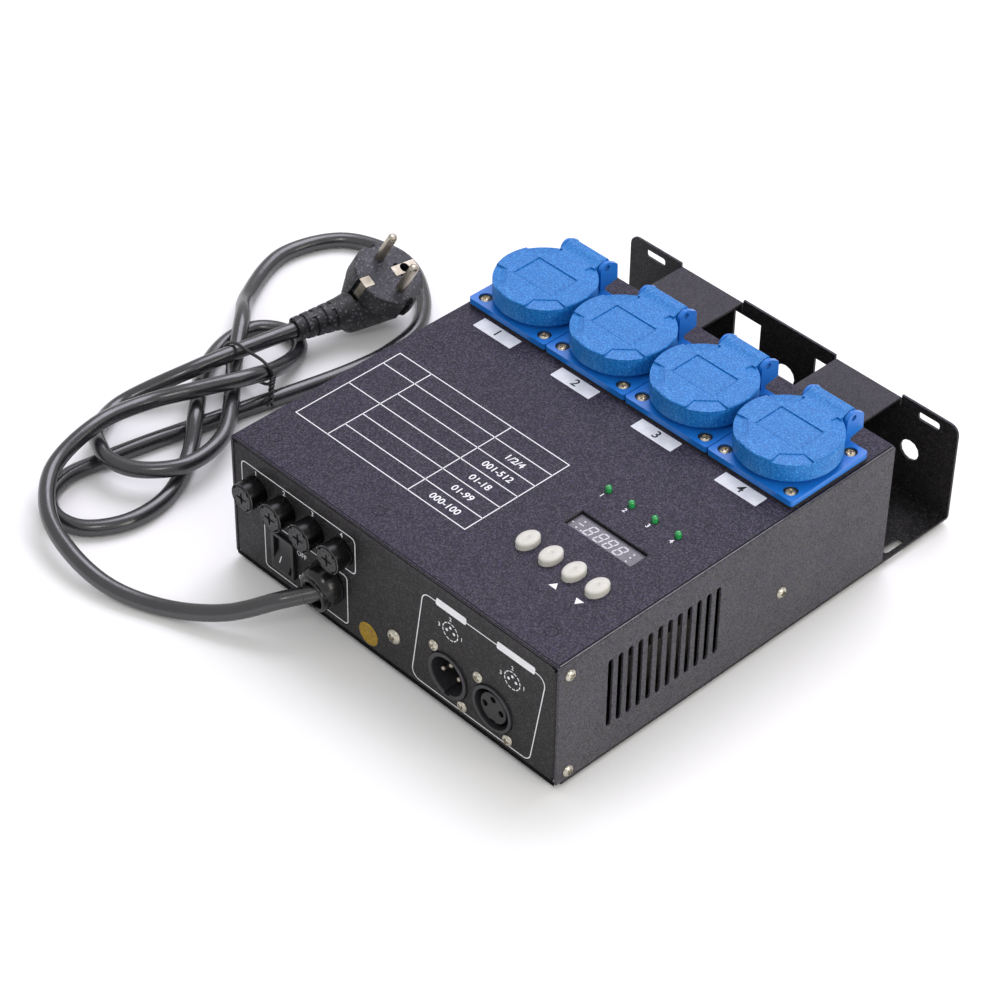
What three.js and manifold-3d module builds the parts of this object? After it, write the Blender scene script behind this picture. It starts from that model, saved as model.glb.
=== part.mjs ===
// Four-channel dimmer pack with mains lead, modelled in millimetres with Z up.
import * as THREE from 'three';
import { mergeVertices } from 'three/addons/utils/BufferGeometryUtils.js';
import Module from 'manifold-3d';

const wasm = await Module();
wasm.setup();

// Clearances shared by all pieces
const seat = 0.05;
const runGap = 0.3;
const overrun = 1;
const bite = 0.4;

// Steel box
const boxWidth = 206;
const boxDepth = 208;
const boxHeight = 68.5;
const sheet = 1.2;
const bendRadius = 1.5;
const bendSteps = 2;
const slotSteps = 4;
const foldRelief = 3;
const panelFlange = 8.5;
const sideTabRow = 137.4;
const sideTabWidth = 12;
const sideTabHeight = 31;
const innerWidth = boxWidth - 2 * (sheet + seat);
const lidUnderside = boxHeight - sheet;
const hiddenTop = lidUnderside - seat;
const hiddenFloor = sheet + seat;

// Vent slots in both sides of the cover
const ventCount = 12;
const ventFirst = 30.5;
const ventPitch = 5.93;
const ventWidth = 3;
const ventLow = 16.2;
const ventHighGap = 14.4;
const ventHigh = boxHeight - ventHighGap;

// Hanging bracket behind the box
const bracketRun = 46.5;
const bracketDrop = 15;
const bracketHeight = boxHeight - bracketDrop;
const bracketCorner = 5;
const bracketSteps = 4;
const floorSlotInset = 4.3;
const floorSlotPlace = boxWidth / 2 - floorSlotInset;
const floorSlotWidth = 4;
const floorSlotLength = 13;
const floorSlotStart = 5;
const topSlotInset = 16.8;
const topSlotPlace = boxWidth / 2 - topSlotInset;
const topSlotDrop = 5.5;
const topSlotLevel = bracketHeight - topSlotDrop;
const topSlotLength = 12.5;
const topSlotWidth = 4.2;
const topSlotCorner = 1.2;
const sideHoleInset = 25.8;
const sideHolePlace = boxWidth / 2 - sideHoleInset;
const sideHoleDrop = 0.95;
const sideHoleLevel = bracketHeight / 2 - sideHoleDrop;
const sideHoleRadius = 5.5;
const midHoleRadius = 6;
const midHoleDrop = 1.45;
const midHoleLevel = bracketHeight / 2 - midHoleDrop;
const windowInner = 17;
const windowWidth = 17;
const windowDrop = 26;
const windowLow = bracketHeight - windowDrop;
const windowHeight = 17.8;
const flapInner = 29.5;
const flapOuterInset = 34;
const flapWidth = boxWidth / 2 - flapOuterInset - flapInner;
const flapNotch = 1.6;
const flapSlit = 0.6;
const flapTop = bracketHeight - flapNotch;
const bracketBack = boxDepth + bracketRun;

// Rubber feet
const footHeight = 3;
const footRadius = 6;
const footTaper = 1;
const footInset = 18;
const footScrewRadius = 2.5;
const footScrewDepth = 1.4;
const footSides = 12;

// Lidded power sockets
const socketCount = 4;
const socketMargin = 2.2;
const socketPitch = (boxWidth - 2 * socketMargin) / socketCount;
const socketInset = 41;
const socketRow = boxDepth - socketInset;
const socketSides = 24;
const flangeGap = 0.4;
const flangeSide = socketPitch - flangeGap;
const flangeCorner = 1.6;
const flangeThick = 3;
const gasketThick = 1.4;
const screwInset = 5.7;
const screwPlace = flangeSide / 2 - screwInset;
const screwWellRadius = 3.3;
const screwWellDepth = 1.6;
const screwSides = 8;
const collarTop = 6.6;
const collarInset = 3.25;
const collarRadius = flangeSide / 2 - collarInset;
const collarEdge = 0.5;
const wellInset = 5.4;
const wellRadius = flangeSide / 2 - wellInset;
const wellDepth = 14.9;
const barrelInset = 3.5;
const barrelRadius = flangeSide / 2 - barrelInset;
const barrelDrop = 28;
const contactSpacing = 19;
const contactRadius = 2.7;
const contactDepth = 14;
const contactSides = 10;
const ribWidth = 4.6;
const ribDepth = 2.3;
const ribLead = 1.5;
const flangeBase = seat + gasketThick + seat;
const flangeTop = flangeBase + flangeThick;
const wellFloor = collarTop - wellDepth;
const wallClear = boxHeight;

// Earth clip of a socket, one bent strip
const clipThick = 0.8;
const clipWidth = 6;
const clipBend = 1.2;
const clipInset = 1.4;
const clipSpread = wellRadius - clipInset;
const clipPinch = 1.6;
const clipTop = 5;
const clipWaist = 0.5;
const clipRoot = 4;
const clipGroove = 1.2;

// Socket lid and its hinge
const lidInset = 0.5;
const lidRadius = flangeSide / 2 - lidInset;
const lidSkirtWall = 3;
const lidTop = 17.4;
const lidDisc = 2.4;
const lidFillet = 0.8;
const lidFilletSteps = 2;
const facetRun = 6.5;
const facetStart = lidRadius - facetRun;
const facetInner = 10;
const facetOuter = 18.5;
const facetShallow = 0.6;
const facetDeep = 1.6;
const facetTrim = 0.65;
const facetChord = lidRadius - facetTrim;
const badgeWidth = 24.8;
const badgeDepth = 16.8;
const badgeSink = 0.5;
const knuckleHalf = 10.6;
const knuckleLap = 2.5;
const knuckleFront = lidRadius - knuckleLap;
const knuckleReach = 5.8;
const knuckleBack = lidRadius + knuckleReach;
const knuckleLow = 13.5;
const knuckleTop = 19;
const knuckleRound = 2;
const knuckleShare = 0.3;
const pivotReach = 2.2;
const pivotBack = lidRadius + pivotReach;
const pivotHeight = 16;
const hingeHoleRadius = 1.4;
const hingePinRadius = 1.1;
const hingePinLength = 24.8;
const hingeSides = 10;
const lidBottom = collarTop + runGap;
const lidInner = lidRadius - lidSkirtWall;

// Ears that carry the lid
const earThick = 3;
const earLap = 2.2;
const earFront = lidRadius - earLap;
const earDepth = 11.4;
const earTop = 18.9;
const earFootDepth = 3.5;
const earBlockTop = 6.5;
const earInner = knuckleHalf + runGap;
const earOutlineShares = [
  [0, 0.71],
  [0.06, 0.88],
  [0.22, 0.98],
  [0.38, 1],
  [0.56, 0.96],
  [0.94, 0.77],
  [1, 0.17],
  [0.28, 0.08],
];

// Fuse holders, caps and fuses
const fuseCount = 4;
const fuseInset = 17;
const fuseFirst = fuseInset - boxWidth / 2;
const fusePitch = 18.8;
const fuseRise = 12.95;
const fuseLevel = boxHeight / 2 + fuseRise;
const fuseSides = 12;
const fuseRimRadius = 7;
const fuseRimOut = 9.1;
const fuseNeckRadius = 6;
const fuseBodyBack = 28;
const fuseBoreRadius = 4;
const fuseBoreBack = 25;
const fuseNutRadius = 8.5;
const fuseNutThick = 3;
const fuseLugWidth = 5;
const fuseLugThick = 1;
const fuseLugLength = 5;
const capRadius = 6.15;
const capThick = 2.5;
const capProud = 0.3;
const capSlotLength = 7;
const capSlotWidth = 1.4;
const capSlotDepth = 1.2;
const capNotchWidth = 1.6;
const capNotchDepth = 0.9;
const capNotchCount = 4;
const carrierRadius = 3.8;
const carrierLength = 16;
const carrierGrip = 8;
const fuseRadius = 2.6;
const fuseLength = 20;
const fuseGrip = 0.2;
const capFront = -(fuseRimOut + capProud);
const recessFloor = capFront + capThick + seat;

// Mains rocker
const rockerInset = 34.7;
const rockerPlace = rockerInset - boxWidth / 2;
const rockerDrop = 13.55;
const rockerLevel = boxHeight / 2 - rockerDrop;
const bezelWidth = 15;
const bezelHeight = 21;
const bezelProud = 2;
const bezelCorner = 1;
const rockerOpenWidth = 11.2;
const rockerOpenHeight = 17.4;
const rockerWall = 1;
const rockerBodyBack = 22;
const rockerPocketBack = 7.5;
const rockerPivotBack = 1.5;
const rockerArc = 8.4;
const rockerCrown = 1.6;
const rockerRear = 3;
const rockerTilt = THREE.MathUtils.degToRad(12);
const rockerArcSteps = 5;
const rockerStubRadius = 1;
const rockerStubSink = 0.5;
const spadeWidth = 5;
const spadeThick = 0.8;
const spadeLength = 8;
const spadeSpread = 6;

// Three-pin round connectors
const roundSides = 20;
const plugInInset = 65.8;
const plugInPlace = boxWidth / 2 - plugInInset;
const plugOutInset = 38.3;
const plugOutPlace = boxWidth / 2 - plugOutInset;
const roundLevel = 19.2;
const roundHoleRadius = 12.1;
const noseRadius = 11.7;
const noseProud = 1;
const roundFlangeWidth = 26;
const roundFlangeHeight = 31;
const roundFlangeThick = 2.5;
const roundFlangeCorner = 3;
const roundBack = 24;
const maleBore = 9.5;
const femaleBore = 10;
const insertRadius = 7.85;
const roundDepth = 13;
const contactRing = 4.9;
const contactPinRadius = 1.2;
const contactPinSink = 2;
const contactHoleRadius = 1.5;
const contactHoleDepth = 10;
const keyWidth = 3;
const keyDepth = 1.2;
const solderCupRadius = 1.3;
const solderCupLength = 4;
const contactTurns = [0, 1 / 4, 1 / 2];

// Display, buttons and indicator lights on the cover
const displayInset = 44;
const displayPlace = boxWidth / 2 - displayInset;
const panelGap = 54;
const panelRun = socketRow - panelGap;
const displayRowShare = 0.6318584;
const displayRow = panelRun * displayRowShare;
const displayWidth = 39.8;
const displayHeight = 11.4;
const displayRim = 2;
const displaySink = 1.1;
const displayThick = 8;
const displayLegThick = 0.6;
const displayLegShare = 0.8;
const buttonInset = 64.5;
const buttonPlace = boxWidth / 2 - buttonInset;
const buttonPitch = 13.8;
const buttonRowShare = 0.3982301;
const buttonRow = panelRun * buttonRowShare;
const buttonCount = 4;
const buttonSides = 16;
const buttonRadius = 6.3;
const buttonNarrow = 4.35;
const buttonProud = 3.4;
const buttonFillet = 0.7;
const buttonDimple = 1.3;
const buttonDimpleDepth = 0.4;
const buttonCollar = 1;
const buttonCollarThick = 1;
const buttonStemRadius = 1.7;
const buttonTravel = 1;
const lightInset = 65.1;
const lightPlace = boxWidth / 2 - lightInset;
const lightPitch = 13.83;
const lightRowShare = 0.8336283;
const lightRow = panelRun * lightRowShare;
const lightSides = 8;
const lightRadius = 1.5;
const lightProud = 3;
const lightCollar = 0.5;
const lightCollarThick = 1;
const lightLegThick = 0.5;
const lightLegSpacing = 2;
const domeSteps = 2;

// Control board hung under the cover
const controlLeftInset = 76;
const controlLeft = boxWidth / 2 - controlLeftInset;
const controlRightInset = 12;
const controlRight = boxWidth / 2 - controlRightInset;
const controlFront = 8;
const controlBack = panelRun;
const controlDrop = 12.5;
const controlTop = boxHeight - controlDrop;
const boardThick = 1.6;
const spacerRadius = 3;
const spacerSides = 6;
const spacerInset = 5.5;
const switchSide = 6;
const switchHeight = 3.5;
const plungerRadius = 1.6;
const plungerHeight = 1;
const chipLength = 34;
const chipWidth = 10;
const chipThick = 3.4;
const headerLength = 22;
const headerWidth = 5;
const headerThick = 7;

// Power board on the floor
const powerLeftInset = 8;
const powerLeft = powerLeftInset - boxWidth / 2;
const powerRightInset = 61;
const powerRight = boxWidth / 2 - powerRightInset;
const powerFront = 54;
const powerBack = 139;
const powerUnder = 8;
const chokeRadius = 12;
const chokeHole = 4.5;
const chokeThick = 11;
const chokeChamfer = 2.5;
const chokeSides = 8;
const triacWidth = 10;
const triacThick = 4.5;
const triacHeight = 19;
const terminalDepth = 10;
const terminalHeight = 12;
const terminalWidth = 17;
const powerFrontStep = 12;
const chokeRow = 32;

// Heatsink standing behind the power board
const sinkBase = 3;
const sinkFin = 1.8;
const sinkFinDepth = 12;
const sinkFinCount = 10;
const sinkGap = 6.5;
const sinkHeight = boxHeight - barrelDrop - sinkGap;

// Mains transformer beside the power board
const coreInset = 47;
const coreLeft = boxWidth / 2 - coreInset;
const coreWidth = 34;
const coreFront = 64;
const coreDepth = 30;
const coreHeight = 28;
const bobbinInset = 5;
const bobbinOver = 5;
const coreFootWidth = 7;
const coreFootThick = 1.5;

// Cable gland
const glandInset = 63.5;
const glandPlace = glandInset - boxWidth / 2;
const glandLevel = 23.3;
const glandSides = 16;
const glandBase = 10.75;
const glandFront = 9.6;
const glandNeck = 6.2;
const glandNutRadius = 9.5;
const glandNutThick = 4;
const glandTail = 8;
const glandNozzle = 7;
const glandNozzleRoot = 7.4;
const glandNozzleLength = 8.5;
const glandDomeShares = [
  [0.68, 1],
  [0.78, 0.94],
  [0.9, 0.58],
  [0.985, 0.26],
  [1, 0.12],
];

// Mains lead: places from the left front corner of the box, heights from the table
const cordRadius = 4;
const cordSides = 8;
const cordTurnStep = THREE.MathUtils.degToRad(25);
const cordLongStep = 24;
const cordRoute = [
  [61, -12.5, 24], [56.3, -18.8, 22.5], [54.6, -21.2, 22], [36, -35.5, 11.5], [9.5, -49, 5],
  [-17.5, -59, 6], [-45, -60, 10.4], [-70.5, -52, 13.4], [-90.5, -33, 16.5], [-96, -3, 22.1],
  [-95.5, 26.5, 19.6], [-84.5, 48, 22], [-75.5, 71.5, 21.8], [-80.5, 95, 12.5],
  [-88.2, 113.1, 6.8], [-97, 121.8, 4.8], [-109.2, 122.9, 4.2], [-119.2, 115.8, 4.2],
  [-122.4, 104, 4.2], [-119, 88, 4.2], [-105.5, 67, 6.4], [-84.5, 47.5, 12.9], [-78, 41, 12.8],
  [-66, 27, 5.4], [-50, 0, 4.3], [-49, -24.5, 4.2], [-60, -42, 4.2], [-74.5, -45.5, 4.2],
  [-87, -39, 4.2], [-93.3, -25, 4.2], [-91.5, -6, 4.2], [-87.5, 17, 4.2], [-76, 66.5, 4.2],
  [-62.5, 128.5, 4.2], [-61.5, 151, 4.2], [-67, 174, 4.2], [-85, 193.5, 4.2],
  [-113, 206, 4.2], [-146, 196, 4.2], [-158, 165, 4.2], [-141.5, 127, 5.8],
  [-121.5, 107, 13.3], [-99, 82.3, 7.7], [-81.5, 67, 13.1], [-57, 39, 12.9], [-53.5, 13.5, 13.4], [-67.5, -4.5, 13.2],
  [-82, -8.5, 13.3], [-91, -5.8, 13.4], [-105.5, 3.5, 8.4], [-118, 25.5, 4.8],
  [-103.5, 63.5, 16.2], [-96.7, 106.7, 15.9], [-96.1, 109.7, 15.9], [-94.5, 117.5, 15.9],
];

// Moulded plug: face centre from the left front corner of the box, height from the table
const plugFace = [-81.2, 168.3, 31.8];
const plugTip = THREE.MathUtils.degToRad(-8.7);
const plugLean = THREE.MathUtils.degToRad(27);
const plugTurn = THREE.MathUtils.degToRad(-5);
const plugSides = 24;
const plugRadius = 18.5;
const plugDepth = 28;
const plugEdge = 1.5;
const plugChannel = 9;
const plugChannelDeep = 2.2;
const plugChannelRun = 16;
const plugKey = 5.2;
const plugKeyDeep = 2.4;
const plugKeyRun = 18;
const plugPinRadius = 2.4;
const plugPinLength = 19;
const plugPinTip = 1.2;
const plugPinSides = 8;
const plugSocketRadius = 2.6;
const plugSocketPlace = 10;
const plugSocketDeep = 12;
const plugBodyShares = [
  [0.8, 1],
  [0.89, 0.93],
  [0.97, 0.64],
  [1, 0.5],
];
const reliefRoot = 9;
const reliefNeck = 6.8;
const reliefTip = 5.1;
const reliefNeckRun = 13;
const reliefRun = 34;
const reliefRibs = 4;
const reliefGroove = 0.9;
const reliefGrooveShare = 0.36;
const reliefSides = 12;

// Wire tie round the loops
const tieRadius = 0.8;
const tieSides = 5;
const tieSteps = 22;
const tieRow = 84;
const tieRoute = [
  [-100, 22.4], [-89, 23], [-78.5, 23.3], [-73.4, 21.4], [-72, 17], [-75.5, 11.1], [-87, 7.4], [-94, 3.2],
  [-103, 2.9], [-108.4, 8.5], [-106.6, 17.2],
];

// Finishes
function finish(colour, roughness, metalness) {
  return { colour, roughness, metalness };
}
const trayPaint = finish(0x2b2a2e, 0.7, 0.2);
const coverPaint = finish(0x474350, 0.75, 0.2);
const socketBlue = finish(0x1560b8, 0.45, 0);
const lidBlue = finish(0x1c74d4, 0.4, 0);
const blackPlastic = finish(0x16161a, 0.5, 0);
const blackRubber = finish(0x131315, 0.8, 0);
const nickel = finish(0xb9b7b0, 0.35, 0.9);
const steel = finish(0x9a9a9c, 0.4, 0.9);
const ivory = finish(0xe9e4cf, 0.45, 0);
const greenLens = finish(0x2f9e44, 0.3, 0);
const greyGlass = finish(0x7d7f78, 0.3, 0);
const boardGreen = finish(0x1d5a34, 0.6, 0);
const bareAluminium = finish(0xa7abb0, 0.45, 0.9);
const fuseGlass = finish(0xcfd6d6, 0.15, 0.1);
const coreSteel = finish(0x55524e, 0.6, 0.7);
const diecast = finish(0x7b7b80, 0.5, 0.8);

// Solids made from shapes
function toSolid(geometry) {
  const bare = new THREE.BufferGeometry();
  bare.setAttribute('position', geometry.getAttribute('position'));
  if (geometry.index) bare.setIndex(geometry.index);
  const welded = mergeVertices(bare);
  const corners = welded.index.array;
  const kept = [];
  for (let i = 0; i < corners.length; i += 3) {
    const [a, b, c] = [corners[i], corners[i + 1], corners[i + 2]];
    if (a !== b && b !== c && c !== a) kept.push(a, b, c);
  }
  return new wasm.Manifold(new wasm.Mesh({
    numProp: 3,
    vertProperties: Float32Array.from(welded.getAttribute('position').array),
    triVerts: Uint32Array.from(kept),
  }));
}

function toGeometry(solid) {
  const mesh = solid.getMesh();
  const geometry = new THREE.BufferGeometry();
  geometry.setAttribute('position', new THREE.BufferAttribute(mesh.vertProperties, 3));
  geometry.setIndex(new THREE.BufferAttribute(mesh.triVerts, 1));
  geometry.computeVertexNormals();
  return geometry;
}

function join(...pieces) {
  return toGeometry(pieces.map(toSolid).reduce((sum, piece) => sum.add(piece)));
}

function cut(base, ...tools) {
  const tool = tools.map(toSolid).reduce((sum, piece) => sum.add(piece));
  return toGeometry(toSolid(base).subtract(tool));
}

function outline(points) {
  return new THREE.Shape(points.map(([a, b]) => new THREE.Vector2(a, b)));
}

function rounded(width, height, radius) {
  const shape = new THREE.Shape();
  const [a, b] = [width / 2 - radius, height / 2 - radius];
  shape.absarc(a, b, radius, 0, Math.PI / 2);
  shape.absarc(-a, b, radius, Math.PI / 2, Math.PI);
  shape.absarc(-a, -b, radius, Math.PI, 3 * Math.PI / 2);
  shape.absarc(a, -b, radius, 3 * Math.PI / 2, 2 * Math.PI);
  return shape;
}

function slot(width, length) {
  const reach = (length - width) / 2;
  const end = [];
  for (let i = 0; i <= slotSteps; i += 1) {
    const angle = Math.PI * i / slotSteps;
    end.push([Math.cos(angle) * width / 2, reach + Math.sin(angle) * width / 2]);
  }
  return outline([...end, ...end.map(([a, b]) => [-a, -b])]);
}

function upright(shape, low, high) {
  const slab = new THREE.ExtrudeGeometry(shape, {
    depth: high - low, bevelEnabled: false, curveSegments: 1,
  });
  return slab.translate(0, 0, low);
}

function frontal(shape, front, back) {
  return upright(shape, -back, -front).rotateX(Math.PI / 2);
}

function sideways(shape, left, right) {
  const turn = new THREE.Matrix4().makeBasis(
    new THREE.Vector3(0, 1, 0),
    new THREE.Vector3(0, 0, 1),
    new THREE.Vector3(1, 0, 0),
  );
  return upright(shape, left, right).applyMatrix4(turn);
}

function block(left, right, front, back, low, high) {
  const box = new THREE.BoxGeometry(right - left, back - front, high - low);
  return box.translate((left + right) / 2, (front + back) / 2, (low + high) / 2);
}

function turned(profile, sides) {
  return new THREE.LatheGeometry(profile.map(([r, a]) => new THREE.Vector2(r, a)), sides);
}

function turnedUp(profile, sides) {
  return turned(profile, sides).rotateX(Math.PI / 2);
}

function rodUp(radius, low, high, sides) {
  return turnedUp([[0, low], [radius, low], [radius, high], [0, high]], sides);
}

function rodBack(radius, front, back, sides) {
  return turned([[0, front], [radius, front], [radius, back], [0, back]], sides);
}

function rodAcross(radius, left, right, sides) {
  return rodBack(radius, left, right, sides).rotateZ(-Math.PI / 2);
}

// Outline of a sheet of one thickness folded along a centre line
function folded(path, thickness, bend) {
  const [left, right] = [[], []];
  const put = (point, along) => {
    const normal = new THREE.Vector2(-along.y, along.x).multiplyScalar(thickness / 2);
    left.push(point.clone().add(normal).toArray());
    right.push(point.clone().sub(normal).toArray());
  };
  const points = path.map(([a, b]) => new THREE.Vector2(a, b));
  const way = (i) => points[i + 1].clone().sub(points[i]).normalize();
  put(points[0], way(0));
  for (let i = 1; i < points.length - 1; i += 1) {
    const [before, after] = [way(i - 1), way(i)];
    const turn = Math.atan2(before.cross(after), before.dot(after));
    const start = points[i].clone().addScaledVector(before, -bend * Math.tan(Math.abs(turn) / 2));
    const toCentre = new THREE.Vector2(-before.y, before.x).multiplyScalar(Math.sign(turn) * bend);
    const centre = start.clone().add(toCentre);
    for (let step = 0; step <= bendSteps; step += 1) {
      const swing = turn * step / bendSteps;
      const spoke = toCentre.clone().negate().rotateAround(new THREE.Vector2(), swing);
      put(centre.clone().add(spoke), before.clone().rotateAround(new THREE.Vector2(), swing));
    }
  }
  put(points[points.length - 1], way(points.length - 2));
  return outline([...left, ...right.reverse()]);
}

// Round tube whose rings stand in the bisecting plane of each corner
function tube(points, radius, sides, closed) {
  const count = points.length;
  const wrap = (i) => (i + count) % count;
  const ways = points.map((point, i) => {
    const next = closed ? points[wrap(i + 1)] : points[Math.min(i + 1, count - 1)];
    const last = closed ? points[wrap(i - 1)] : points[Math.max(i - 1, 0)];
    const ahead = next.clone().sub(point).normalize();
    const behind = point.clone().sub(last).normalize();
    const along = ahead.clone().add(behind).normalize();
    const half = ahead.lengthSq() && behind.lengthSq() ? ahead.angleTo(behind) / 2 : 0;
    return { along, half, bend: ahead.clone().sub(behind).normalize() };
  });
  const up = new THREE.Vector3(0, 0, 1);
  let side = up.clone().cross(ways[0].along).normalize();
  const positions = [];
  ways.forEach(({ along, half, bend }, i) => {
    side = side.clone().addScaledVector(along, -side.dot(along)).normalize();
    const rise = along.clone().cross(side);
    for (let k = 0; k < sides; k += 1) {
      const angle = 2 * Math.PI * (k + 1 / 2) / sides;
      const spoke = side.clone().multiplyScalar(Math.cos(angle) * radius);
      spoke.addScaledVector(rise, Math.sin(angle) * radius);
      spoke.addScaledVector(bend, spoke.dot(bend) * (1 / Math.cos(half) - 1));
      positions.push(...points[i].clone().add(spoke).toArray());
    }
  });
  const corners = [];
  for (let i = 0; i < (closed ? count : count - 1); i += 1) {
    for (let k = 0; k < sides; k += 1) {
      const [a, b] = [i * sides + k, i * sides + (k + 1) % sides];
      const [c, d] = [wrap(i + 1) * sides + (k + 1) % sides, wrap(i + 1) * sides + k];
      corners.push(a, b, c, a, c, d);
    }
  }
  if (!closed) {
    const end = (count - 1) * sides;
    for (let k = 1; k < sides - 1; k += 1) {
      corners.push(0, k + 1, k, end, end + k, end + k + 1);
    }
  }
  const geometry = new THREE.BufferGeometry();
  geometry.setAttribute('position', new THREE.Float32BufferAttribute(positions, 3));
  geometry.setIndex(corners);
  return geometry;
}

// Scene graph: the box stands on its feet, centred on the floor without its lead
const pack = new THREE.Group();
pack.name = 'dimmer_pack';
const box = new THREE.Group();
box.position.set(0, -(bracketBack + capFront) / 2, footHeight);
pack.add(box);

function add(name, geometry, look, x = 0, y = 0, z = 0) {
  const material = new THREE.MeshStandardMaterial({
    color: look.colour, roughness: look.roughness, metalness: look.metalness,
  });
  const mesh = new THREE.Mesh(toGeometry(toSolid(geometry)), material);
  mesh.name = name;
  mesh.position.set(x, y, z);
  box.add(mesh);
  return mesh;
}

const places = (count, first, pitch) => Array.from({ length: count }, (_, i) => first + pitch * i);
const fusePlaces = places(fuseCount, fuseFirst, fusePitch);
const buttonPlaces = places(buttonCount, buttonPlace, buttonPitch);
const lightPlaces = places(buttonCount, lightPlace, lightPitch);
const socketPlaces = places(socketCount, -socketPitch * (socketCount - 1) / 2, socketPitch);

// Lower tray: floor, front panel with its flanges, rear bracket
function makeTray() {
  const half = innerWidth / 2;
  const mid = sheet / 2;
  const foldBend = bendRadius - mid;
  const wall = folded([
    [foldRelief * 3, mid], [mid, mid], [mid, hiddenTop - mid], [panelFlange, hiddenTop - mid],
  ], sheet, foldBend);
  const cheeks = folded([
    [-(half - mid), panelFlange], [-(half - mid), mid], [half - mid, mid], [half - mid, panelFlange],
  ], sheet, foldBend);
  const back = bracketBack - mid;
  const floor = folded([
    [foldRelief, mid], [back, mid], [back, bracketHeight / 2],
  ], sheet, foldBend);
  const reach = boxWidth / 2;
  const arc = [];
  for (let i = 0; i <= bracketSteps; i += 1) {
    const angle = Math.PI / 2 * i / bracketSteps;
    arc.push([
      reach - bracketCorner + Math.cos(angle) * bracketCorner,
      bracketHeight - bracketCorner + Math.sin(angle) * bracketCorner,
    ]);
  }
  const plate = outline([
    [-reach, foldRelief], [reach, foldRelief], ...arc, ...arc.map(([a, b]) => [-a, b]).reverse(),
  ]);
  const tabHalf = sideTabWidth / 2;
  const flap = folded([
    [back, windowLow], [back, flapTop - mid], [boxDepth + runGap, flapTop - mid],
  ], sheet, foldBend);
  const pieces = [
    sideways(wall, -(half - foldRelief), half - foldRelief),
    upright(cheeks, foldRelief + sheet, hiddenTop - foldRelief),
    block(bendRadius - half, half - bendRadius, 0, sheet, bendRadius, hiddenTop - bendRadius),
    sideways(floor, -reach, reach),
  ];
  for (const sign of [-1, 1]) {
    const tab = outline([
      [half * sign, mid], [(half - sheet) * sign, mid],
      [(half - sheet) * sign, sideTabHeight], [half * sign, sideTabHeight],
    ]);
    pieces.push(frontal(tab, sideTabRow - tabHalf, sideTabRow + tabHalf));
  }
  const notchLow = flapTop - flapNotch * 3;
  const plateTools = [rodBack(midHoleRadius, bracketBack - sheet - overrun, bracketBack + overrun,
    footSides).translate(0, 0, midHoleLevel)];
  const floorTools = [];
  const flaps = [];
  for (const sign of [-1, 1]) {
    const span = (inner, width) => (sign > 0 ? [inner, inner + width] : [-inner - width, -inner]);
    const deep = [bracketBack - sheet - overrun, bracketBack + overrun];
    plateTools.push(
      frontal(rounded(topSlotLength, topSlotWidth, topSlotCorner), ...deep)
        .translate(topSlotPlace * sign, 0, topSlotLevel),
      rodBack(sideHoleRadius, ...deep, footSides).translate(sideHolePlace * sign, 0, sideHoleLevel),
      block(...span(windowInner, windowWidth), ...deep, windowLow, windowLow + windowHeight),
      block(...span(flapInner - flapSlit, flapWidth + 2 * flapSlit), ...deep,
        notchLow, bracketHeight + overrun),
    );
    floorTools.push(upright(slot(floorSlotWidth, floorSlotLength), -overrun, sheet + overrun)
      .translate(floorSlotPlace * sign, boxDepth + floorSlotStart + floorSlotLength / 2, 0));
    const tongue = sideways(flap, ...span(flapInner, flapWidth));
    const clear = block(...span(flapInner - overrun, flapWidth + 2 * overrun), ...deep,
      windowLow - overrun, notchLow - flapNotch);
    flaps.push(cut(tongue, clear));
  }
  const shell = cut(join(...pieces, frontal(plate, bracketBack - sheet, bracketBack)),
    ...plateTools, ...floorTools);
  const body = join(shell, ...flaps);
  const through = [-overrun, sheet + overrun];
  const tools = fusePlaces.map((x) => rodBack(fuseNeckRadius + runGap, ...through, fuseSides)
    .translate(x, 0, fuseLevel));
  for (const x of [plugInPlace, plugOutPlace]) {
    tools.push(rodBack(roundHoleRadius, ...through, roundSides).translate(x, 0, roundLevel));
  }
  const openSide = rockerWall + runGap;
  tools.push(
    rodBack(glandNeck + runGap, ...through, glandSides).translate(glandPlace, 0, glandLevel),
    frontal(rounded(rockerOpenWidth + 2 * openSide, rockerOpenHeight + 2 * openSide, bezelCorner / 2),
      ...through).translate(rockerPlace, 0, rockerLevel),
  );
  return cut(body, ...tools);
}
add('chassis_tray', makeTray(), trayPaint);

// Top cover, a folded U with vents in both sides
function makeCover() {
  const half = (boxWidth - sheet) / 2;
  const shape = folded([
    [-half, hiddenFloor], [-half, boxHeight - sheet / 2], [half, boxHeight - sheet / 2],
    [half, hiddenFloor],
  ], sheet, bendRadius - sheet / 2);
  const through = [lidUnderside - overrun, boxHeight + overrun];
  const tools = socketPlaces.map((x) => rodUp(barrelRadius + runGap, ...through, socketSides)
    .translate(x, socketRow, 0));
  tools.push(block(displayPlace - displayWidth / 2, displayPlace + displayWidth / 2,
    displayRow - displayHeight / 2, displayRow + displayHeight / 2, ...through));
  for (const x of buttonPlaces) {
    tools.push(rodUp(buttonRadius + runGap, ...through, buttonSides)
      .scale((buttonNarrow + runGap) / (buttonRadius + runGap), 1, 1).translate(x, buttonRow, 0));
  }
  for (const x of lightPlaces) {
    tools.push(rodUp(lightRadius + runGap, ...through, lightSides).translate(x, lightRow, 0));
  }
  const vent = slot(ventWidth, ventHigh - ventLow);
  for (const y of places(ventCount, ventFirst, ventPitch)) {
    tools.push(sideways(vent, -boxWidth / 2 - overrun, boxWidth / 2 + overrun)
      .translate(0, y, (ventLow + ventHigh) / 2));
  }
  return cut(frontal(shape, 0, boxDepth), ...tools);
}
add('top_cover', makeCover(), coverPaint);

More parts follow.
